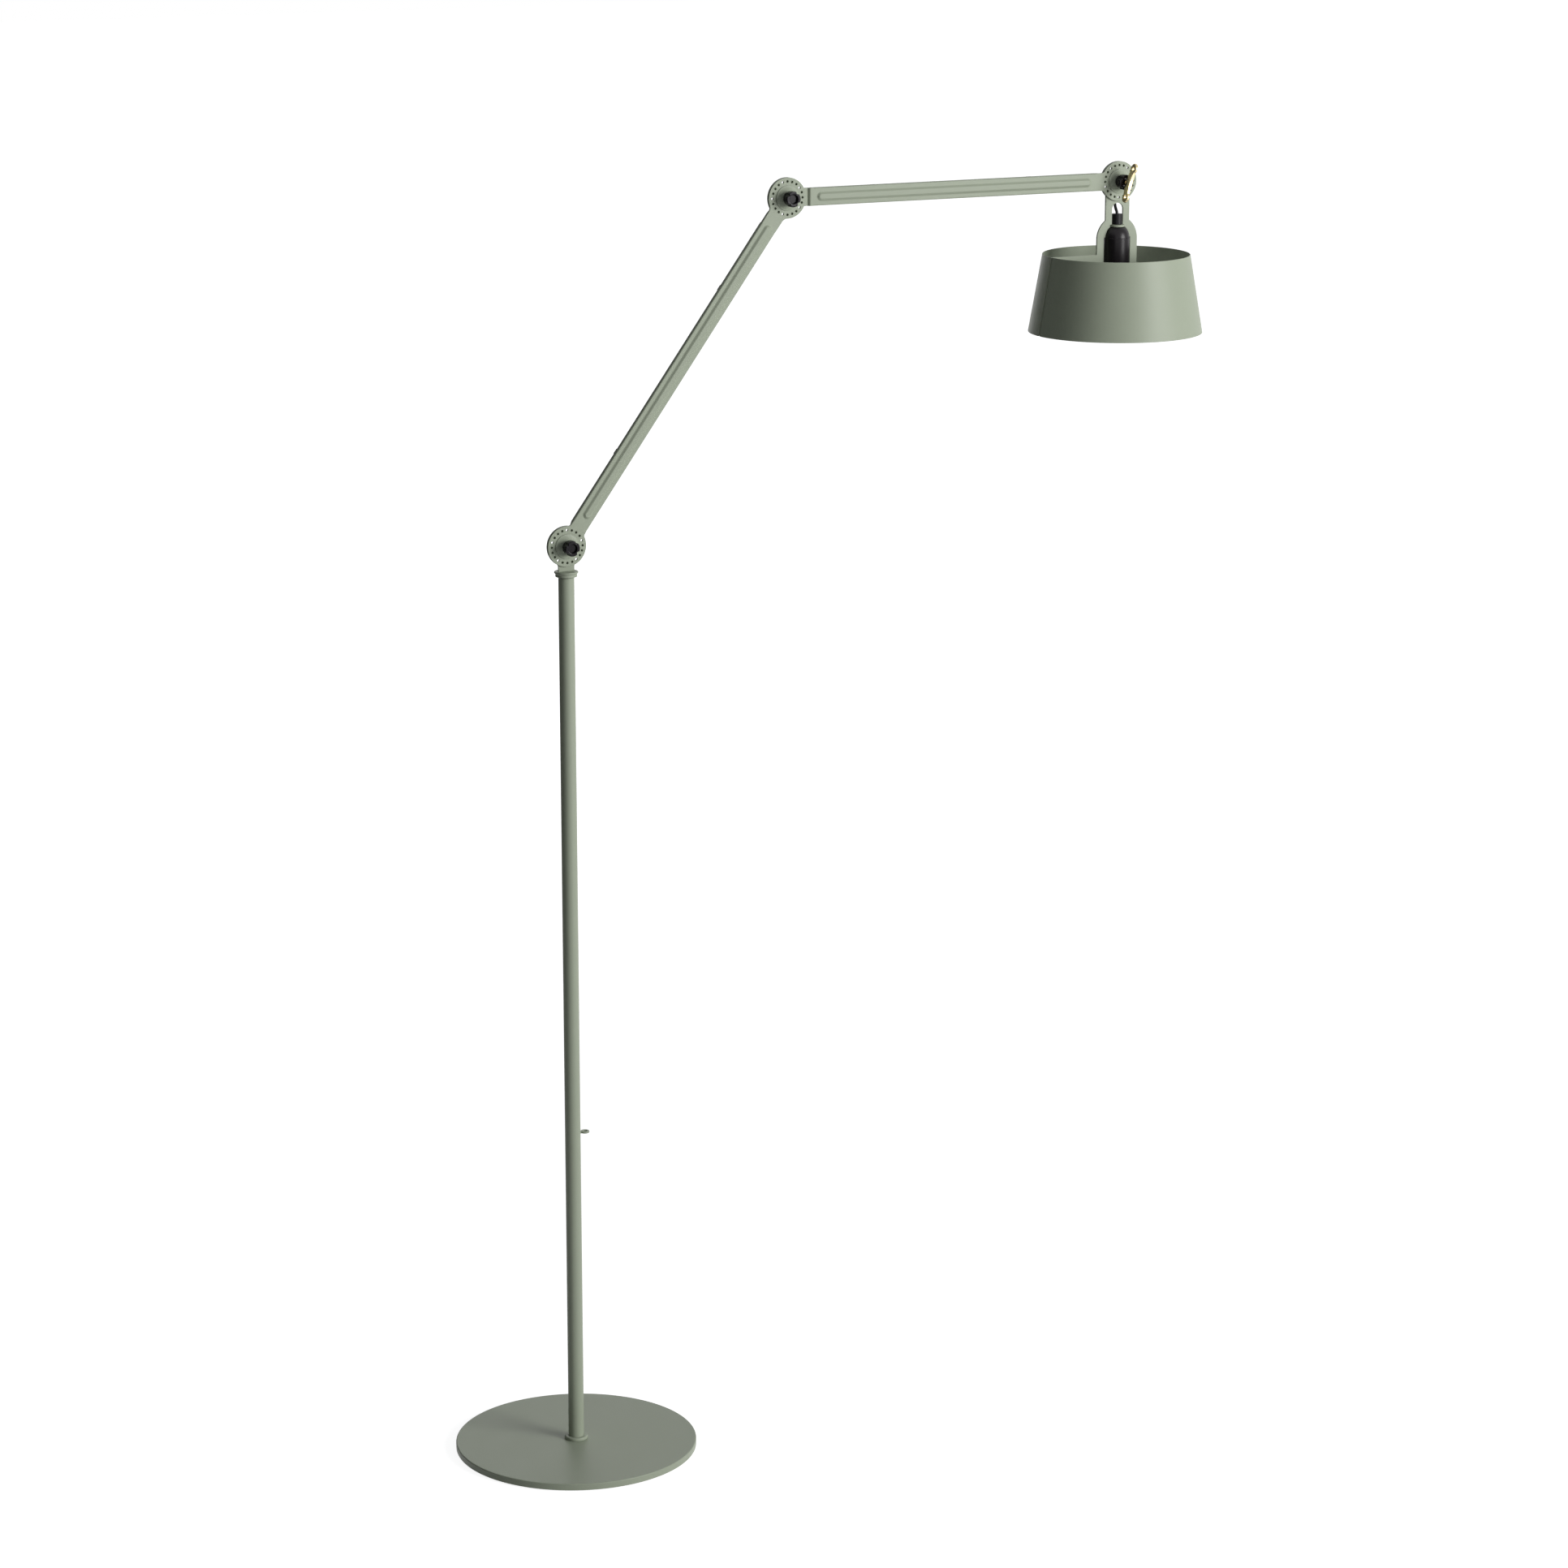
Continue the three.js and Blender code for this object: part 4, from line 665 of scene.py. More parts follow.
# base and pole
baseShape = {"edgeTop": 1.6, "edgeBottom": 1.0, "recessRadius": 13.3, "boltBore": 4.3}
poleShape = {
    "ringEdge": 1.7,
    "tubeWall": 1.5,
    "outletRadius": 4.3,
    "outletLength": 12,
    "outletBack": 14,
    "stemHole": 2.3,
    "stemHoleLength": 14,
}
grommetShape = {"bore": 2.4, "neck": 4.0, "flange": 6.5, "flangeThick": 1.6}
eyeletShape = {"middle": 18.8, "hole": 3.3, "thick": 3.0, "holeEdge": 0.7, "outerEdge": 1.1, "stem": 2.0,
               "stemLap": 0.6}


# a disc with round edges and a recess for the bolt, turned about Z, on flat round pads
def makeBase(shape):
    low, high = boxOf("base_plate")
    radius, bottom, top = high[0], low[2], high[2]
    recessTop = boxOf("base_washer")[1][2] + gap
    profile = rounded([
        (shape["recessRadius"], bottom, 0.3),
        (radius, bottom, shape["edgeBottom"]),
        (radius, top, shape["edgeTop"]),
        (shape["boltBore"], top, 0.3),
        (shape["boltBore"], recessTop, 0.2),
        (shape["recessRadius"], recessTop, 0.2),
    ], steps=6)
    addPiece("basePlate", turned(profile, 256), "base_plate")
    for node in [name for name in frame["nodes"] if name.startswith("base_foot_")] + ["base_bolt_cover"]:
        low, high = boxOf(node)
        middle, radius = (low + high) / 2, (high[0] - low[0]) / 2
        corners = [(0, 0), (radius, 0, 0.3), (radius, high[2], 0.5), (0, high[2])]
        pad = rounded(corners, closed=False, steps=4)
        addPiece(node.replace("base_", "pad_"), moved(turned(pad, 48), middle[0], middle[1]), node)


# a ring round the foot of a tube, which is drilled for the cord's outlet and the eyelet's stem
def makePole(shape):
    low, high = boxOf("pole_foot_ring")
    inner = boxOf("pole_tube")[1][0] + gap
    ring = ringProfile(inner, high[0], low[2], high[2], (0.2, 0.3, shape["ringEdge"], 0.4), steps=6)
    addPiece("poleFootRing", turned(ring, 128), "pole_foot_ring")
    low, high = boxOf("pole_tube")
    tube = ringProfile(high[0] - shape["tubeWall"], high[0], low[2], high[2], (0.3, 0.4, 0.4, 0.3), steps=4)
    outletZ, eyeletZ = middleOf("cord_outlet_grommet")[2], middleOf("cable_eyelet")[2]
    outlet = turnedForward(rod(shape["outletRadius"], 0, shape["outletLength"]), shape["outletBack"], 40)
    stemHole = turnedSideways(rod(shape["stemHole"], 0, shape["stemHoleLength"]), 0, eyeletZ, 32)
    pole = meshObject("poleTube", turned(tube, 128))
    dressed(worked(pole, [moved(outlet, z=outletZ), stemHole], "DIFFERENCE"), "pole_tube")
    makeGrommet(grommetShape, outletZ)
    makeEyelet(eyeletShape, eyeletZ)


# a bush with a flange, turned about Y
def makeGrommet(shape, height):
    low, high = boxOf("cord_outlet_grommet")
    length = high[1] - low[1]
    profile = rounded([
        (shape["bore"], 0, 0.4),
        (shape["flange"], 0, 0.7),
        (shape["flange"], shape["flangeThick"], 0.2),
        (shape["neck"], shape["flangeThick"], 0.2),
        (shape["neck"], length, 0.3),
        (shape["bore"], length, 0.3),
    ], steps=4)
    addPiece("outletGrommet", moved(turnedForward(profile, high[1], 48), z=height), "cord_outlet_grommet")


# a flat ring with round edges on a short stem that is let into the pole
def makeEyelet(shape, height):
    low, high = boxOf("cable_eyelet")
    middle, hole, half = shape["middle"], shape["hole"], shape["thick"] / 2
    edges = (shape["holeEdge"], shape["outerEdge"], shape["outerEdge"], shape["holeEdge"])
    ring = ringProfile(hole, high[0] - middle, -half, half, edges, steps=6)
    eyelet = meshObject("cableEyelet", moved(turned(ring, 64), x=middle, z=height))
    pole = moved(turned(rod(boxOf("pole_tube")[1][0] + gap, -4, 4), 128), z=height)
    eyelet = worked(eyelet, [pole], "DIFFERENCE")
    stem = rod(shape["stem"], 0, middle - hole - shape["stemLap"] - low[0])
    dressed(worked(eyelet, [turnedSideways(stem, low[0], height, 32)], "UNION"), "cable_eyelet")


makeBase(baseShape)
makePole(poleShape)
print("base and pole made")

# pole head
headShape = {
    "neck": 24.0,
    "fillet": 5.0,
    "lipHeight": 3.6,
    "lipBevel": 1.4,
    "collarRadius": 15.3,
    "lipRadius": 16.9,
    "tongue": 6.0,
    "spigotRadius": 7.5,
    "cableBore": 2.4,
    "cableY": 3.9,
}


# a rear plate with a neck, whose tongue stands in the slot of a plug turned about Z
def makeHead(shape):
    low, high = boxOf("head_plug")
    spigot, collarTop = low[2] - firstHinge[2], high[2] - firstHinge[2]
    collarBottom = boxOf("pole_top_bush")[1][2] + gap - firstHinge[2]
    tongueEnd = shape["tongue"] - collarTop
    half = shape["neck"] / 2
    outline = np.concatenate([discEnd(half, shape["fillet"]), [(tongueEnd, -half), (tongueEnd, half)]])
    addPiece("headPlate", atHinge(rearPlate(outline, 180), firstHinge, -90), "head_plate")
    lipBottom = collarTop - shape["lipHeight"]
    profile = rounded([
        (0, spigot),
        (shape["spigotRadius"], spigot, 0.6),
        (shape["spigotRadius"], collarBottom, 0.2),
        (shape["collarRadius"], collarBottom, 0.6),
        (shape["collarRadius"], lipBottom, 0.5),
        (shape["lipRadius"], lipBottom + shape["lipBevel"], 0.7),
        (shape["lipRadius"], collarTop, 0.8),
        (0, collarTop),
    ], closed=False, steps=5)
    plug = meshObject("headPlug", moved(turned(profile, 160), z=firstHinge[2]))
    slotLow = (-half - gap, rearFront - gap, -tongueEnd - gap)
    slotHigh = (half + gap, rearBack + gap, collarTop + 2)
    bore = moved(turned(rod(shape["cableBore"], spigot - 2, 0), 36), y=shape["cableY"])
    tools = [moved(shell, z=firstHinge[2]) for shell in (blockShell(slotLow, slotHigh), bore)]
    dressed(worked(plug, tools, "DIFFERENCE"), "head_plug")


makeHead(headShape)
print("pole head made")

# arms
armShape = {
    "half": 12.7,
    "depth": 7.0,
    "neckDepth": 5.4,
    "wallTaper": 6.0,
    "wallStep": 1.0,
    "wallLap": 0.8,
    "wallEdge": 0.5,
    "endRise": 0.3,
    "endFold": 0.5,
    "neckFold": 0.6,
    "foldRadius": 1.7,
    "tuck": 2.2,
    "tuckLead": 1.5,
    "beadHalf": 6.9,
    "beadHeight": 2.4,
    "beadSlope": 4.2,
    "beadEnd": 45.5,
    "neckFillet": 5.0,
    "elbowFillet": 10.0,
    "joggleStart": 33.0,
    "joggleLength": 3.6,
    "joggleLap": 1.5,
    "discClearance": 0.6,
    "foldClearance": 48.5,
    "tiltClearance": 34.0,
}


# a stadium between two ends, drawn in by an inset: two half circles and the straights between
def stadium(start, end, half, inset):
    radius = half - inset
    right = arc(end - half, 0, radius, -90, 90, 24)
    left = arc(start + half, 0, radius, 90, 270, 24)
    return np.concatenate([right, left])


# the bead's side rises as a smooth step from the sheet to its flat top
def beadOf(start, end, shape):
    t = np.linspace(0, 1, 9)
    insets = t * shape["beadSlope"]
    heights = shape["beadHeight"] * t * t * (3 - 2 * t)
    ring = lambda inset: stadium(start, end, shape["beadHalf"], inset)
    return {"ring": ring, "profile": list(zip(insets, heights))}


# an arm's front sheet: an outline with a bore and index holes at each of its discs, and a bead
def frontWeb(outline, discs, length, shape):
    holes = [circle(x, 0, hingeShape["boreRadius"]) for x in discs]
    for x in discs:
        holes += indexHoles(x, 0, "front", 0)
    bead = beadOf(shape["beadEnd"], length - shape["beadEnd"], shape)
    return sheet([outline] + holes, discFront, discBack, hingeShape["edge"], bead=bead)


# section of a side wall: a strip that turns back from the front through a round fold
def wallSection(depth, fold, shape):
    half, inner, rise = shape["half"], shape["half"] - hingeShape["sheet"], depth - hingeShape["sheet"]
    back, lap, edge = discFront + depth, shape["wallLap"], min(shape["wallEdge"], rise / 3)
    return rounded([
        (discFront, inner - lap, 0),
        (discFront, half, fold),
        (back, half, edge),
        (back, inner, edge),
        (discBack, inner, min(lap, rise / 2)),
        (discBack, inner - lap, 0),
    ], steps=6)


# the folded side walls of a channel, from stations that hold a place, a depth and a fold radius
def sideWalls(stations, shape):
    sections = np.stack([wallSection(depth, fold, shape) for _, depth, fold in stations])
    x = np.broadcast_to(np.array([place for place, _, _ in stations])[:, None], sections.shape[:2])
    points = np.stack([x, sections[..., 0], sections[..., 1]], -1).reshape(-1, 3)
    count = sections.shape[1]
    near, far = fillLoops([sections[0]]), fillLoops([sections[-1]]) + (len(stations) - 1) * count
    polygons = [gridQuads(len(stations), count), near, far]
    return together((points, polygons), (points * (1, 1, -1), polygons))


# a strip's upper and lower side: between its ends each steps in by the tuck, so that the round
# folds of the walls show there
def stripSides(start, end, shape):
    high, low, lead = shape["half"], shape["half"] - shape["tuck"], shape["tuckLead"]
    x = [end, end - lead, end - lead, start + lead, start + lead, start]
    upper = np.stack([x, [high, high, low, low, high, high]], -1)
    return upper, upper[::-1] * (1, -1)


# a channel between two front discs, shallower near its far end, where the other arm folds past
def makeLowerArm(shape):
    half, thin, fold = shape["half"], hingeShape["sheet"] + shape["endRise"], shape["foldRadius"]
    reach, inner = hingeShape["discRadius"] + shape["discClearance"], half - hingeShape["sheet"]
    wallStart, channelEnd = math.sqrt(reach**2 - inner**2), lowerLength - shape["foldClearance"]
    wallEnd, deep, taper = lowerLength - wallStart, shape["depth"], shape["wallTaper"]
    near = discEnd(half, shape["neckFillet"])
    far = farDiscEnd(lowerLength, half, shape["elbowFillet"])
    upper, lower = stripSides(near[0, 0] + 0.1, far[0, 0] - 0.1, shape)  # so that no two points meet
    web = frontWeb(np.concatenate([near, lower, far, upper]), (0, lowerLength), lowerLength, shape)
    arm = meshObject("lowerArm", atHinge(web, firstHinge, lowerAngle))
    walls = sideWalls([
        (wallStart, thin, shape["endFold"]),
        (wallStart + taper, deep, fold),
        (channelEnd - shape["wallStep"], deep, fold),
        (channelEnd, shape["neckDepth"], fold * 0.6),
        (wallEnd - taper, shape["neckDepth"], shape["neckFold"]),
        (wallEnd, thin, shape["endFold"]),
    ], shape)
    dressed(worked(arm, [atHinge(walls, firstHinge, lowerAngle)], "UNION"), "lower_arm")


# a rear disc, a joggle whose middle line is a smooth step to the front, and a channel that
# ends in a front disc
def makeUpperArm(shape):
    half, start, lap = shape["half"], shape["joggleStart"], shape["joggleLap"]
    strip, wallEnd = start + shape["joggleLength"], upperLength - shape["tiltClearance"]
    rearOutline = np.concatenate([discEnd(half, shape["neckFillet"]), [(start, -half), (start, half)]])
    upper, lower = stripSides(strip + 2, wallEnd, shape)
    far = farDiscEnd(upperLength, half, shape["neckFillet"])
    outline = np.concatenate([[(strip, half), (strip, -half)], lower, far, upper])
    web = frontWeb(outline, (upperLength,), upperLength, shape)
    x = np.linspace(start - lap, strip + lap, 25)
    t = np.clip((x - start) / shape["joggleLength"], 0, 1)
    smooth = t * t * (3 - 2 * t)
    middle = np.stack([x, (rearFront + rearBack) / 2 + (discFront - rearFront) * smooth, 0 * x], -1)
    slope = np.gradient(middle[:, 1], x)
    across = np.stack([-slope, np.ones_like(x), 0 * x], -1) / np.sqrt(1 + slope**2)[:, None]
    section = roundedBox(hingeShape["sheet"] / 2, half, hingeShape["edge"])
    joggle = carried(section, middle, across, np.broadcast_to((0.0, 0.0, 1.0), middle.shape))
    walls = sideWalls([
        (strip, shape["depth"], shape["foldRadius"]),
        (wallEnd - shape["wallTaper"], shape["depth"], shape["foldRadius"]),
        (wallEnd, hingeShape["sheet"] + shape["endRise"], shape["endFold"]),
    ], shape)
    arm = meshObject("upperArm", atHinge(web, secondHinge))
    parts = [atHinge(part, secondHinge) for part in (joggle, rearPlate(rearOutline, 180), walls)]
    dressed(worked(arm, parts, "UNION"), "upper_arm")


# bridge clips that hold the cable in the channels
clipShape = {
    "length": 8.0,
    "thick": 0.8,
    "bridge": 3.0,
    "earGap": 0.3,
    "places": {"near": 0.25, "far": 0.72},  # shares of the arm's length
}


# a strip bent into a bridge with two ears, whose section is carried along the arm for its width
def makeClips(shape, half):
    thick, low = shape["thick"], shape["bridge"]
    high, ear = low + thick, half - hingeShape["sheet"] - shape["earGap"]
    side = [(low, half, 0.2), (low, ear, 0.3), (0, ear, 0.3), (0, ear - thick, 0.3), (low, ear - thick, 0.5)]
    otherSide = [(y, -z, r) for y, z, r in side[::-1]]
    section = rounded([(high, -half, 0.3), (high, half, 0.3)] + side + otherSide, steps=4)
    yWay, zWay = np.tile((0.0, 1.0, 0.0), (2, 1)), np.tile((0.0, 0.0, 1.0), (2, 1))
    arms = [("lower", firstHinge, lowerAngle, lowerLength), ("upper", secondHinge, 0, upperLength)]
    for arm, hinge, angle, length in arms:
        for end, share in shape["places"].items():
            start = length * share
            places = np.array([(start, 0, 0), (start + shape["length"], 0, 0)], float)
            strip = atHinge(carried(section, places, yWay, zWay), hinge, angle)
            addPiece(f"{arm}ArmClip{end.title()}", strip, f"{arm}_arm_clip_{end}")


makeLowerArm(armShape)
makeUpperArm(armShape)
makeClips(clipShape, armShape["half"])
print("arms made")

# bell washers, knobs and bolts
bellShape = {"radius": 17.6, "top": 9.5, "height": 4.2, "lip": 0.8, "wall": 1.2, "bore": 4.2, "rise": 1.5}


# profile of a bell, whose outer side is a trumpet: its height grows as a power of the way from
# rim to hub, and a few tenths of a millimetre soften its edges
def bellWasher(shape):
    rim, lip, top, bore = shape["radius"], shape["lip"], shape["height"], shape["bore"]
    t = np.linspace(0, 1, 60)
    radius = rim - 0.4 - (rim - 0.4 - shape["top"]) * t
    height = lip + (top - lip) * t ** shape["rise"]
    outside = np.stack([radius, height], -1)
    inside = np.stack([radius - 0.5 - 0.4 * t, np.maximum(height - shape["wall"], 0)], -1)[::-6]
    rimEdge = [(rim - 0.2, 0.0), (rim, 0.2), (rim, lip - 0.25), (rim - 0.15, lip - 0.05)]
    hubEdge = [(bore + 0.2, top), (bore, top - 0.2), (bore, top - shape["wall"])]
    return np.concatenate([rimEdge, outside, hubEdge, inside])


knobShape = {
    "sides": 288,
    "bore": 4.1,
    "hubRadius": 9.0,
    "hubLength": 5.2,
    "hubEdge": 0.5,
    "headRadius": 11.0,
    "headLength": 10.5,
    "backEdge": 0.8,
    "edge": 1.3,
    "notchRadius": 2.6,
    "notchCentre": 11.5,
    "notchAngle": -38.0,
    "notches": 4,
    "recessRadius": 6.8,
    "recessFloor": 5.6,
    "recessDepth": 4.0,
    "recessEdge": 0.5,
    "floorThick": 1.2,
}


# distance from the axis to the head's edge: the circle, or a notch where one reaches inside it
def knobEdge(angles, shape):
    pitch = 2 * math.pi / shape["notches"]
    away = (angles - math.radians(shape["notchAngle"]) + pitch / 2) % pitch - pitch / 2
    centre, notch = shape["notchCentre"], shape["notchRadius"]
    under = notch**2 - (centre * np.sin(away)) ** 2
    reach = centre * np.cos(away) - np.sqrt(np.maximum(under, 0))
    circleEdge = np.full_like(angles, shape["headRadius"])
    return np.where(under > 0, np.minimum(circleEdge, reach), circleEdge)


# rows of radius and height run from the back of the hub over the head, whose rows follow its
# edge, to the bottom of the recess; a bore that isn't through ends under the recess's floor
def knobShell(shape, back, boreThrough):
    angles = np.linspace(0, 2 * np.pi, shape["sides"], endpoint=False)
    edge = knobEdge(angles, shape)
    soft = (np.roll(edge, 1) + 2 * edge + np.roll(edge, -1)) / 4  # takes the sharpness off the notches
    hub, hubRadius, hubEdge = shape["hubLength"], shape["hubRadius"], shape["hubEdge"]
    total, backEdge, frontEdge = hub + shape["headLength"], shape["backEdge"], shape["edge"]
    turn = np.linspace(0, math.pi / 2, 7)
    rows = [(shape["bore"], 0.0), (hubRadius - hubEdge, 0.0), (hubRadius, hubEdge), (hubRadius, hub - 0.3),
            (hubRadius + 0.1, hub)]
    rows += [(soft - backEdge * (1 - math.sin(a)), hub + backEdge * (1 - math.cos(a))) for a in turn]
    rows += [(soft - frontEdge * (1 - math.cos(a)), total - frontEdge * (1 - math.sin(a))) for a in turn]
    recess, depth, recessEdge = shape["recessRadius"], shape["recessDepth"], shape["recessEdge"]
    rows += [(recess + recessEdge, total), (recess + 0.1, total - 0.15), (recess, total - recessEdge)]
    rows += [(recess - (recess - shape["recessFloor"]) * t, total - recessEdge - (depth - recessEdge) * t)
             for t in (0.4, 0.8, 1.0)]
    rows += [(shape["bore"], total - depth)]
    if not boreThrough:
        floor = total - depth - shape["floorThick"]
        rows = [(0, floor), (shape["bore"], floor)] + rows + [(0, total - depth)]
    radius = np.stack([np.broadcast_to(r, angles.shape) for r, _ in rows])
    height = np.broadcast_to(np.array([h for _, h in rows])[:, None], radius.shape)
    points = np.stack([radius * np.cos(angles), back - height, radius * np.sin(angles)], -1).reshape(-1, 3)
    return points, [gridQuads(len(rows), len(angles), closeRows=boreThrough)]


boltShape = {
    "headRadius": 8.0,
    "headHeight": 3.2,
    "domeShare": 0.8,
    "shank": 3.9,
    "endBevel": 0.5,
    "neckHalf": 4,
    "thinShank": 2.4,
    "thinBevel": 0.4,
}


# profile of a bolt: a dome that is part of an ellipse, a shank, and either a bevelled end or a
# shoulder with a thinner shank beyond it
def boltProfile(shape, length, shoulder):
    radius, rise, shank = shape["headRadius"], shape["headHeight"] * shape["domeShare"], shape["shank"]
    dome = [(radius * math.sin(a), rise * (1 - math.cos(a))) for a in np.linspace(0, 1.45, 12)]
    head = dome + [(radius, rise), (radius, shape["headHeight"]), (shank, shape["headHeight"])]
    if shoulder is None:
        tip = [(shank, length - shape["endBevel"]), (shank - shape["endBevel"], length)]
    else:
        thin, bevel = shape["thinShank"], shape["thinBevel"]
        tip = [(shank, shoulder - bevel), (shank - bevel, shoulder), (thin, shoulder)]
        tip += [(thin, length - bevel), (thin - bevel, length)]
    return head + tip + [(0, length)]


# a bell washer, a knob and a bolt with a square neck at a hinge
def makeFastening(order, hinge, through):
    back = boxOf(f"bell_washer_{order}")[1][1]
    bell = atHinge(turnedForward(bellWasher(bellShape), back, 128), hinge)
    addPiece(f"bellWasher{order}", bell, f"bell_washer_{order}", 50)
    knobLow, knobHigh = boxOf(f"knob_{order}")
    addPiece(f"knob{order}", atHinge(knobShell(knobShape, knobHigh[1], through), hinge), f"knob_{order}", 50)
    low, high = boxOf(f"hinge_bolt_{order}")
    shoulder = high[1] - knobLow[1] - knobShape["recessDepth"] - gap if through else None
    profile = boltProfile(boltShape, high[1] - low[1], shoulder)
    bolt = meshObject(f"hingeBolt{order}", atHinge(turnedForward(profile, high[1], 64), hinge))
    half = boltShape["neckHalf"]
    neck = atHinge(blockShell((-half, rearFront + 0.3, -half), (half, rearBack + 0.5, half)), hinge)
    dressed(worked(bolt, [neck], "UNION"), f"hinge_bolt_{order}")


makeFastening(1, firstHinge, through=False)
makeFastening(2, secondHinge, through=False)
makeFastening(3, thirdHinge, through=True)  # this bolt also carries the wing nut
print("bell washers, knobs and bolts made")

# wing nut, drawn with its long direction along X and then tilted
wingShape = {
    "spacing": 41.4,
    "holeInset": 0.5,
    "earRadius": 7.7,
    "earEdge": 1.2,
    "hole": 2.6,
    "sink": 1.5,
    "endThick": 3.7,
    "midThick": 7.2,
    "waist": 11.0,
    "sweep": 2.4,
    "standOff": 2.4,
    "hubRadius": 4.2,
    "tilt": 72.0,
    "bore": 2.7,
    "squareness": 5.0,
}


# the nut's body: its middle line is a parabola, and round it runs a superellipse whose depth
# grows with the cube of the way out and whose thickness falls as a power of a cosine
def wingBody(shape, middleY, earX, earY, stations=61, sides=48):
    reach = shape["spacing"] / 2 - shape["hole"] - 0.9
    x = np.linspace(-reach, reach, stations)
    t = np.abs(x) / earX
    centreY = middleY + (earY - middleY) * t**2
    halfDepth = shape["waist"] / 2 + (shape["earRadius"] * 0.8 - shape["waist"] / 2) * t**3
    endThick, swell = shape["endThick"], shape["midThick"] - shape["endThick"]
    halfThick = (endThick + swell * np.cos(np.pi * t / 2) ** 1.5) / 2
    angles = np.linspace(0, 2 * np.pi, sides, endpoint=False)
    soft = 2 / shape["squareness"]
    u = np.sign(np.cos(angles)) * np.abs(np.cos(angles)) ** soft
    v = np.sign(np.sin(angles)) * np.abs(np.sin(angles)) ** soft
    points = np.stack([
        np.broadcast_to(x[:, None], (stations, sides)),
        centreY[:, None] + halfDepth[:, None] * u[None],
        halfThick[:, None] * v[None],
    ], -1).reshape(-1, 3)
    cap = fillLoops([np.stack([u, v], -1)])
    return points, [gridQuads(stations, sides), cap, cap + (stations - 1) * sides]


# the body, two flat ears with countersunk holes, and a bored hub that reaches back to the knob
def makeWingNut(shape):
    hubBack, knobFront = boxOf("wing_nut")[1][1], boxOf("knob_3")[0][1]
    middleY = knobFront - gap - shape["standOff"] - shape["waist"] / 2
    holeX, earY = shape["spacing"] / 2, middleY - shape["sweep"]
    earX, half = holeX + shape["holeInset"], shape["endThick"] / 2
    radius, edge = shape["earRadius"], shape["earEdge"]
    hole, wide = shape["hole"], shape["hole"] + shape["sink"]
    corners = [(0, -half), (radius, -half, edge), (radius, half, edge), (0, half)]
    disc = rounded(corners, closed=False, steps=5)
    beyond = half + 1
    straight = half - 0.5
    drill = [(0, -beyond), (wide, -beyond), (hole, -straight), (hole, straight), (wide, beyond), (0, beyond)]
    ears = [moved(turned(disc, 64), x=side * earX, y=earY) for side in (-1, 1)]
    holes = [moved(turned(drill, 48), x=side * holeX, y=earY) for side in (-1, 1)]
    hubRadius, hubLength = shape["hubRadius"], hubBack - middleY - shape["waist"] / 2 + 1
    corners = [(0, 0), (hubRadius, 0, 0.5), (hubRadius, hubLength), (0, hubLength)]
    hub = turnedForward(rounded(corners, closed=False, steps=4), hubBack, 64)
    depth = hubBack + 1 - boxOf("hinge_bolt_3")[0][1] + gap
    bore = turnedForward(rod(shape["bore"], 0, depth), hubBack + 1, 48)
    place = lambda shell: atHinge(shell, thirdHinge, shape["tilt"])
    nut = meshObject("wingNut", place(wingBody(shape, middleY, earX, earY)))
    nut = worked(nut, [place(shell) for shell in (*ears, hub)], "UNION")
    nut = worked(nut, [place(shell) for shell in (bore, *holes)], "DIFFERENCE")
    dressed(nut, "wing_nut", 40)


makeWingNut(wingShape)
print("wing nut made")

# shade head, drawn down from the third hinge
bracketShape = {
    "neck": 39.4,
    "width": 66.6,
    "shoulder": 83.5,
    "bottom": 124.0,
    "legRound": 3.0,
    "slot": 18.0,
    "slotTop": 31.5,
    "tabTop": 62.6,
    "tabThick": 3.4,
    "tabRadius": 11.3,
    "nippleRadius": 4.8,
    "nippleBore": 5.1,
    "sideGap": 2.6,
    "domeGap": 0.6,
    "finReach": 1.0,
    "finFoot": 15,
    "sweepOut": 36,
    "sweepDown": 4,
    "sweepFoot": 6,
}
holderShape = {
    "radius": 19.0,
    "topRadius": 10.5,
    "dome": 14.8,
    "domePull": 2.2,
    "domeDrop": 0.14,
    "skirt": 41.0,
    "wall": 2.0,
}
gripShape = {"top": 47.2, "radius": 7.6, "bore": 2.4, "nipple": 4.8, "nippleLength": 5}
shadeShape = {
    "top": 105.4,
    "height": 113.1,
    "topRadius": 107.5,
    "bottomRadius": 127.0,
    "wall": 1.0,
    "hem": 11.0,
    "slit": 1.8,
    "fold": 0.8,
}
holderTop = -(bracketShape["tabTop"] + bracketShape["tabThick"] + gap)


# the dome's side is a quadratic curve from its flat top to the skirt
def domeLine(count):
    t = np.linspace(0, 1, count)
    top, side = holderShape["topRadius"], holderShape["radius"]
    radius = (1 - t) ** 2 * top + 2 * t * (1 - t) * (side - holderShape["domePull"]) + t**2 * side
    drop = holderShape["dome"] * (2 * t * (1 - t) * holderShape["domeDrop"] + t**2)
    return np.stack([radius, holderTop - drop], -1)


# the cone's radius grows evenly from its top edge down
def shadeRadius(z):
    slope = (shadeShape["bottomRadius"] - shadeShape["topRadius"]) / shadeShape["height"]
    return shadeShape["topRadius"] + slope * (-shadeShape["top"] - z)


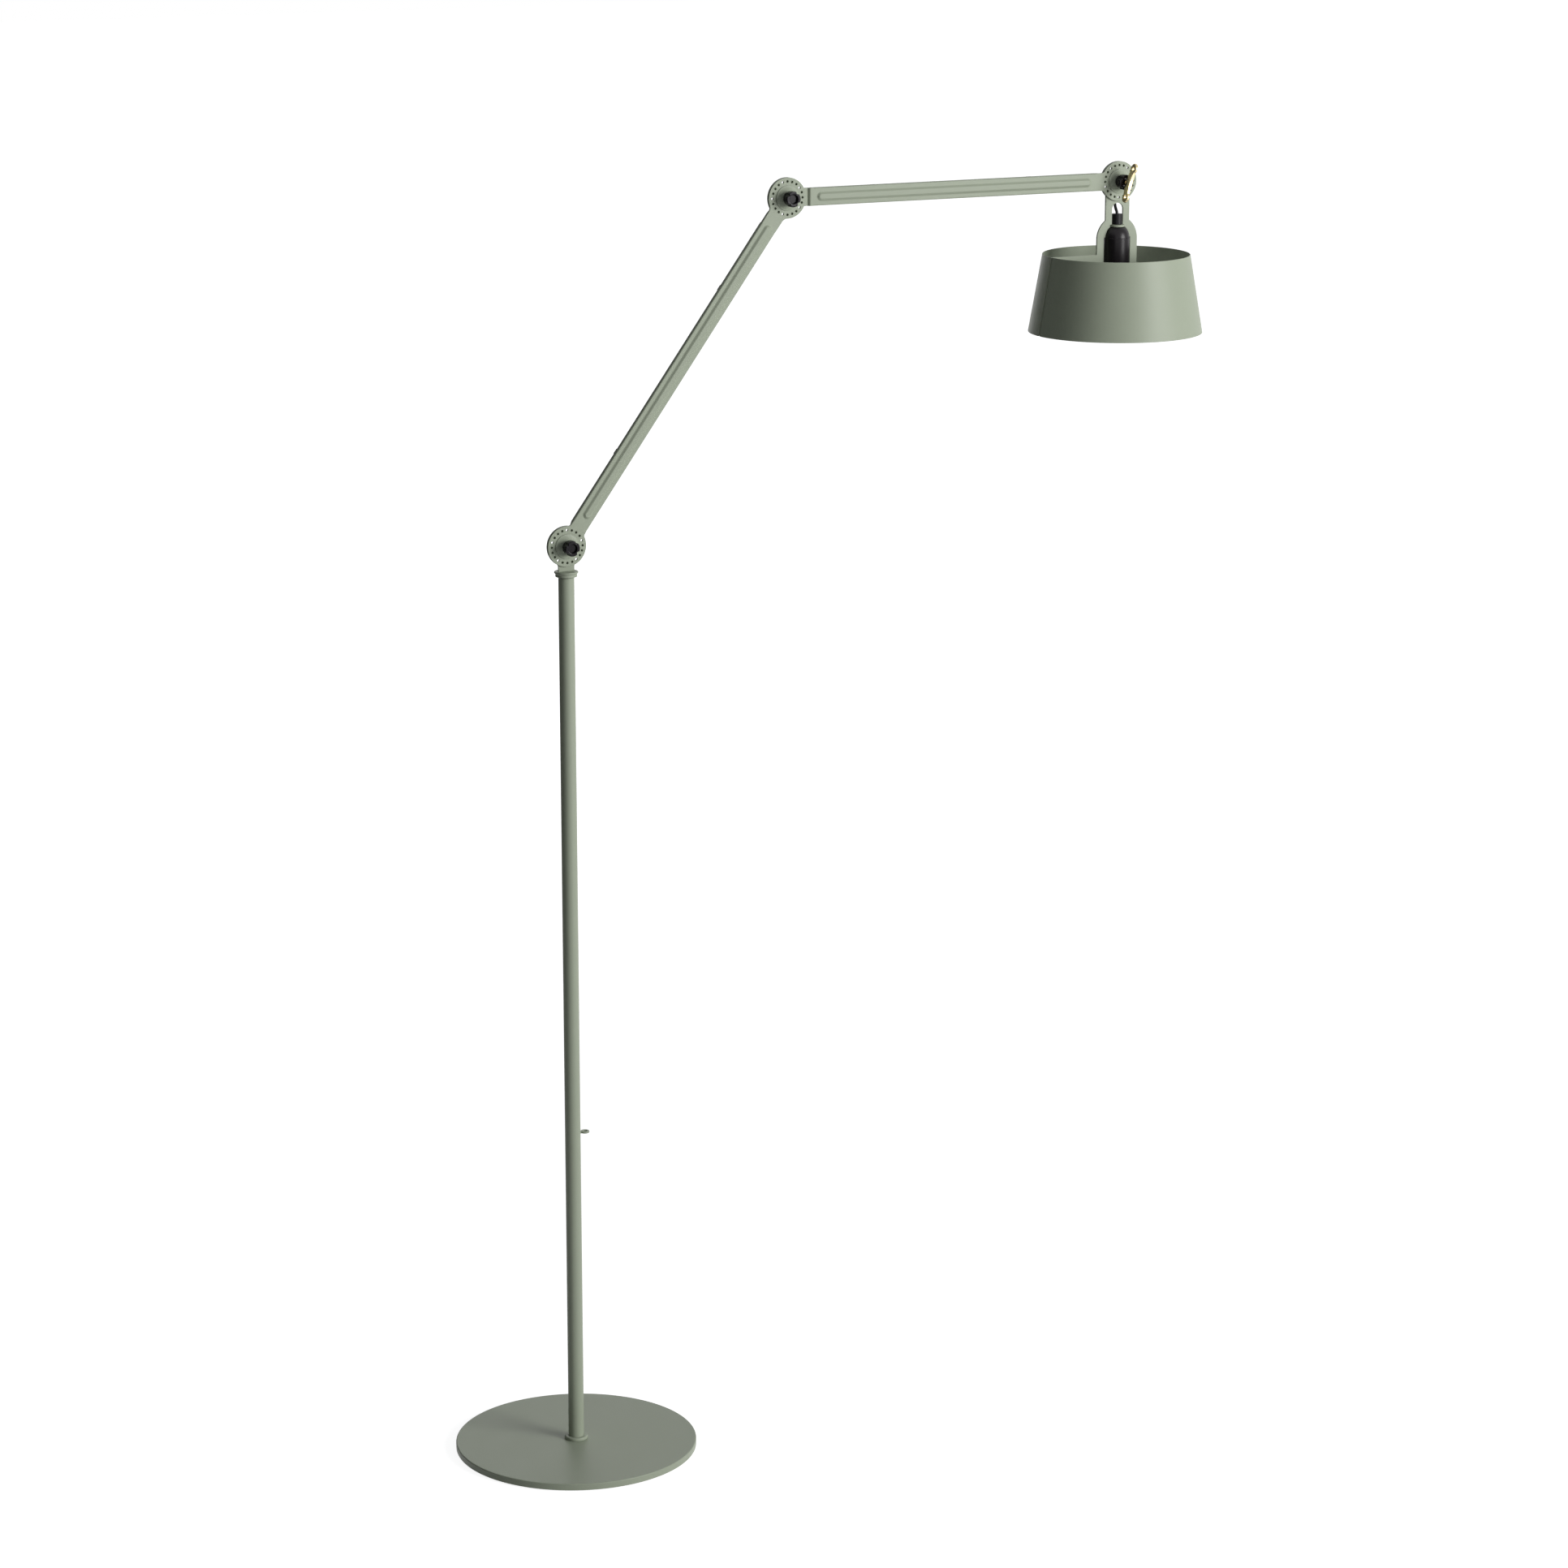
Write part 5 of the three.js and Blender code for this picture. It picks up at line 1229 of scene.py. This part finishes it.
# the bracket's outline: a disc, a neck that widens into round shoulders, a leg on each side of
# the lampholder, and on the left a fin along the shade, with a quadratic curve back to the leg
def bracketOutline(shape):
    neck, wide = shape["neck"] / 2, shape["width"] / 2
    bottom, shoulder = -shape["bottom"], -shape["shoulder"]
    meet = math.degrees(math.acos(neck / wide))
    join = math.degrees(math.asin(neck / hingeShape["discRadius"]))
    finTop = -shadeShape["top"]
    finBottom = finTop - shadeShape["height"] + 2
    edgeAt = lambda z: -(shadeRadius(z) + shape["finReach"])
    right = arc(0, shoulder, wide, 0, meet, 30)
    disc = arc(0, 0, hingeShape["discRadius"], join - 90, 270 - join, 110)
    left = arc(0, shoulder, wide, 180 - meet, 180, 30)
    fin = np.array([(-wide, finTop), (edgeAt(finTop), finTop), (edgeAt(finBottom), finBottom),
                    (edgeAt(finBottom) + shape["finFoot"], finBottom)])
    t = np.linspace(0, 1, 24)[1:, None]
    bend = np.array([-wide - shape["sweepOut"], bottom - shape["sweepDown"]])
    foot = np.array([-wide + shape["sweepFoot"], bottom])
    sweep = (1 - t) ** 2 * fin[3] + 2 * t * (1 - t) * bend + t**2 * foot
    dome = domeLine(16) + np.stack([np.full(16, shape["domeGap"]), gap * (1 - np.linspace(0, 1, 16))], -1)
    half = holderShape["radius"] + shape["sideGap"]
    side = np.concatenate([dome, [(half, dome[-1, 1]), (half, bottom)]])
    recess = np.concatenate([(side * (-1, 1))[::-1], side])
    legRound = arc(wide - shape["legRound"], bottom + shape["legRound"], shape["legRound"], -90, 0, 6)
    return np.concatenate([legRound, right, disc, left, fin, sweep, recess])


# a rear plate with a slot for the cable, and a round bored tab that holds the lampholder
def makeBracket(shape):
    half, tabTop, tabBottom = shape["slot"] / 2, -shape["tabTop"], -shape["tabTop"] - shape["tabThick"]
    slotEnd = arc(0, -shape["slotTop"] - half, half, 0, 180, 28)
    slot = np.concatenate([slotEnd, [(-half, tabTop), (half, tabTop)]])
    plate = rearPlate(bracketOutline(shape), 270, [slot])
    inner = shape["nippleRadius"] + gap
    tab = ringProfile(inner, shape["tabRadius"], tabBottom, tabTop, (0.3, 0.7, 0.9, 0.3), steps=5)
    bore = rod(shape["nippleBore"], tabBottom - 2, tabTop + 2)
    bracket = meshObject("shadeBracket", atHinge(plate, thirdHinge))
    bracket = worked(bracket, [atHinge(turned(tab, 96), thirdHinge)], "UNION")
    bracket = worked(bracket, [atHinge(turned(bore, 48), thirdHinge)], "DIFFERENCE")
    dressed(bracket, "shade_bracket")


# dome and skirt are shells turned about the holder's axis
def makeLampholder(shape):
    bore, wall, count = bracketShape["nippleBore"], shape["wall"], 28
    outer = domeLine(count)
    inner = outer - np.stack([np.full(count, wall), wall * (1 - np.linspace(0, 1, count))], -1)
    inner[:, 0] = np.maximum(inner[:, 0], bore)
    top = outer[0]
    crown = rounded([(bore, top[1]), (top[0], top[1], 1.0), tuple(outer[3])], closed=False, steps=5)[:-1]
    profile = np.concatenate([crown, outer[3:], inner[::-1]])
    addPiece("lampholderDome", atHinge(turned(profile, 128), thirdHinge), "lampholder_dome", 45)
    high = outer[-1, 1] - gap
    low = high + gap - shape["skirt"]
    skirt = ringProfile(shape["radius"] - wall, shape["radius"], low, high, (0.5, 0.8, 0.5, 0.3))
    addPiece("lampholderSkirt", atHinge(turned(skirt, 128), thirdHinge), "lampholder_skirt")


# a grip on the tab with a bored nipple through it, turned about the holder's axis
def makeCordGrip(shape):
    top, bottom, low = -shape["top"], -bracketShape["tabTop"] + gap, holderTop - shape["nippleLength"]
    profile = rounded([
        (shape["bore"], low, 0.2),
        (shape["nipple"], low, 0.4),
        (shape["nipple"], bottom, 0.1),
        (shape["radius"], bottom, 0.4),
        (shape["radius"], top, 0.8),
        (shape["bore"], top, 0.5),
    ], steps=5)
    addPiece("cordGrip", atHinge(turned(profile, 96), thirdHinge), "cord_grip")


# the shade is one sheet: in plan it runs along a hem, round a small fold, about the cone and
# back to the second hem, and its section is a thin upright strip with round edges; each point
# is that plan line's point plus the line's normal times the section's offset
def shadeShell(shape):
    wall, fold = shape["wall"], shape["fold"]
    top, bottom = -shape["top"], -shape["top"] - shape["height"]
    half = wall / 2
    around = np.linspace(0, np.pi, 7)[1:-1]
    levels = bottom + half + (top - bottom - wall) * np.linspace(0, 1, 30)
    rims = half * np.cos(around)
    offsets = np.concatenate([np.full(30, half), rims, np.full(30, -half), -rims])
    heights = np.concatenate([levels, top - half + half * np.sin(around), levels[::-1],
                              bottom + half - half * np.sin(around)])
    radius = shadeRadius(heights) - half
    seam = shape["slit"] + half + fold
    tilt = np.arcsin(seam / (radius - fold))
    angle = np.linspace(-1, 1, 361)[:, None] * (np.pi - tilt)[None]
    foldShare = np.linspace(0, 1, 9)[1:, None]
    bend = (np.pi - tilt)[None] + foldShare * (np.pi / 2 + tilt)[None]
    foldX = -(radius - fold) * np.cos(tilt) + fold * np.cos(bend)
    foldY = (radius - fold) * np.sin(tilt) + fold * np.sin(bend)
    hemShare = np.linspace(0, 1, 4)[1:, None]
    hemX, hemY = foldX[-1] + hemShare * (shape["hem"] - fold), np.broadcast_to(foldY[-1], (3, len(radius)))
    endX, endY = np.concatenate([foldX, hemX]), np.concatenate([foldY, hemY])
    endNx = np.concatenate([np.cos(bend), np.zeros((3, len(radius)))])
    endNy = np.concatenate([np.sin(bend), -np.ones((3, len(radius)))])
    x = np.concatenate([endX[::-1], radius * np.cos(angle), endX])
    y = np.concatenate([-endY[::-1], radius * np.sin(angle), endY])
    nx = np.concatenate([endNx[::-1], np.cos(angle), endNx])
    ny = np.concatenate([-endNy[::-1], np.sin(angle), endNy])
    points = np.stack([x + nx * offsets, y + ny * offsets, np.broadcast_to(heights, x.shape)], -1)
    stations, count = x.shape
    cap = fillLoops([np.stack([offsets, heights], -1)])
    return points.reshape(-1, 3), [gridQuads(stations, count), cap, cap + (stations - 1) * count]


rivetShape = {"domeHeight": 1.4, "shank": 2.0, "headHeight": 1.45}


# the shade and its rivets: each is two elliptical domes with a thinner shank between them,
# turned about Y
def makeShade(shape, rivet):
    addPiece("lampShade", atHinge(shadeShell(shape), thirdHinge), "shade", 40)
    turn, shank, head = np.linspace(0, math.pi / 2, 10), rivet["shank"], rivet["headHeight"]
    for order in (1, 2, 3):
        low, high = boxOf(f"shade_rivet_{order}")
        middle, radius, depth = (low + high) / 2, (high[2] - low[2]) / 2, high[1] - low[1]
        dome = [(radius * math.sin(a), rivet["domeHeight"] * (1 - math.cos(a))) for a in turn]
        profile = dome + [(shank, head), (shank, depth - head)] + [(r, depth - h) for r, h in dome[::-1]]
        shell = atHinge(turnedForward(profile, high[1], 40), np.array([middle[0], 0, middle[2]]))
        addPiece(f"shadeRivet{order}", shell, f"shade_rivet_{order}", 50)


bulbShape = {
    "neck": 13.5,
    "pullRadius": 17.0,
    "pullHeight": 38.0,
    "pitch": 3.6,
    "threadDepth": 0.55,
    "capEnd": 4,
    "contact": 3.0,
}


# the glass is a sphere that runs into its neck by a quadratic curve, turned about Z
def makeGlass(shape):
    low, high = boxOf("bulb_glass")
    globe = (high[0] - low[0]) / 2
    centre = low[2] + globe
    lower = arc(0, centre, globe, -90, 30, 40)
    t = np.linspace(0, 1, 20)[1:, None]
    pull = np.array([shape["pullRadius"], centre + shape["pullHeight"]])
    waist = np.array([shape["neck"], high[2]])
    upper = (1 - t) ** 2 * lower[-1] + 2 * t * (1 - t) * pull + t**2 * waist
    profile = np.concatenate([lower, upper, [(0, high[2])]])
    profile[0, 0] = 0
    addPiece("bulbGlass", moved(turned(profile, 96), x=thirdHinge[0]), "bulb_glass", 60)


# the bulb's thread: the radius swings with height and follows the turn, one pitch a turn
def makeCap(shape, sides=96):
    low, high = boxOf("bulb_cap")
    radius, bottom, top = (high[0] - low[0]) / 2, low[2], high[2]
    threadTop, depth = top - shape["capEnd"], shape["threadDepth"]
    angles = np.linspace(0, 2 * np.pi, sides, endpoint=False)
    levels = np.linspace(bottom, threadTop, 60)
    swing = depth * np.cos(2 * np.pi * levels[:, None] / shape["pitch"] - angles[None])
    fade = np.clip(np.minimum(levels - bottom, threadTop - levels) / 2, 0, 1)[:, None]
    wall = radius - depth + swing * fade
    tip = [(radius * 0.6, top - 1.5), (shape["contact"], top), (0, top)]
    reach = np.concatenate([np.zeros((1, sides)), wall, [np.full(sides, r) for r, _ in tip]])
    height = np.concatenate([[bottom], levels, [h for _, h in tip]])[:, None]
    points = np.stack([thirdHinge[0] + reach * np.cos(angles), reach * np.sin(angles),
                       np.broadcast_to(height, reach.shape)], -1)
    addPiece("bulbCap", (points.reshape(-1, 3), [gridQuads(len(reach), sides)]), "bulb_cap", 50)


makeBracket(bracketShape)
makeLampholder(holderShape)
makeCordGrip(gripShape)
makeShade(shadeShape, rivetShape)
makeGlass(bulbShape)
makeCap(bulbShape)
print("shade head made")

# cable: one length on each body and a bent length over each hinge
cableShape = {
    "radius": 2.1,
    "channelY": 0.6,
    "plateY": 3.9,
    "overY": 7.4,
    "plateStop": 21.0,
    "channelStop": 44.0,
    "foldStop": 54.5,
    "joggleStop": 50.6,
}


# a place at a reach from a hinge, in the direction of an angle, and at a depth
def alongWay(hinge, angle, reach, y):
    turn = math.radians(angle)
    return [hinge[0] + reach * math.cos(turn), y, hinge[2] + reach * math.sin(turn)]


# a round section carried along a smooth line through the points
def addCable(name, points, node, perSpan=12, rides=True):
    return addPiece(name, cableShell(smoothLine(points, perSpan), cableShape["radius"]), node, 60, rides)


# a loop's start and end are each an angle, a reach and a depth: the cable leaves them straight
# and rises to pass over the bolt's head
def makeLoop(order, hinge, start, end):
    over = cableShape["overY"]
    leadIn = lambda angle, reach, y: [
        alongWay(hinge, angle, reach, y),
        alongWay(hinge, angle, reach - 3, y),
        alongWay(hinge, angle, (reach + 13) / 2, (y + over) / 2),
        alongWay(hinge, angle, 10, over),
    ]
    points = leadIn(*start) + leadIn(*end)[::-1]
    loop = addCable(f"cableLoop{order}", points, f"cable_loop_{order}", 14, rides=False)
    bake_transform(loop)


# the points that the cable's line runs through on each body, and its loops over the hinges
def makeCables(shape):
    spigot, outletZ = boxOf("cable_in_head")[0][2], middleOf("cord_outlet_grommet")[2]
    poleTop, wallY = boxOf("cable_in_pole")[1][2], boxOf("pole_tube")[1][0]
    y, over, channelY = shape["plateY"], shape["overY"], shape["channelY"]
    addCable("cableInPole", [
        (0, wallY, outletZ),
        (0, wallY - 3, outletZ),
        (0, 4.6, outletZ + 2.2),
        (0, 1.8, outletZ + 8),
        (0, 0.4, outletZ + 20),
        (0, 0, outletZ + 45),
        (0, 0, poleTop - 60),
        (0, 0.8, poleTop - 36),
        (0, y - 0.8, poleTop - 12),
        (0, y, poleTop),
    ], "cable_in_pole")
    headEnd = firstHinge[2] - shape["plateStop"] - gap
    inHead = [(0, y, z) for z in (spigot, (spigot + headEnd) / 2, headEnd)]
    addCable("cableInHead", inHead, "cable_in_head")
    lowerStops = (shape["channelStop"] + gap, lowerLength / 2, lowerLength - shape["foldStop"] - gap)
    upperStops = (shape["joggleStop"] + gap, upperLength / 2, upperLength - shape["channelStop"] - gap)
    inLower = [alongWay(firstHinge, lowerAngle, reach, channelY) for reach in lowerStops]
    inUpper = [alongWay(secondHinge, 0, reach, channelY) for reach in upperStops]
    addCable("cableInLowerArm", inLower, "cable_in_lower_arm")
    addCable("cableInUpperArm", inUpper, "cable_in_upper_arm")
    x, z = thirdHinge[0], thirdHinge[2]
    addCable("cableInBracket", [
        (x, 0, z + holderTop - 4.5),
        (x, 0, z - 53.2),
        (x, 0.6, z - 45.2),
        (x, 4.6, z - 39),
        (x, over - 0.4, z - 32),
        (x, over, z - shape["plateStop"] - gap),
    ], "cable_in_bracket")
    plate, channel, fold, joggle = (shape[name + "Stop"] for name in ("plate", "channel", "fold", "joggle"))
    makeLoop(1, firstHinge, (-90, plate, y), (lowerAngle, channel, channelY))
    back = lowerAngle + 180
    makeLoop(2, secondHinge, (back, fold, channelY), (0, joggle, channelY))
    makeLoop(3, thirdHinge, (180, channel, channelY), (-90, plate, over))


makeCables(cableShape)
print("cables made")
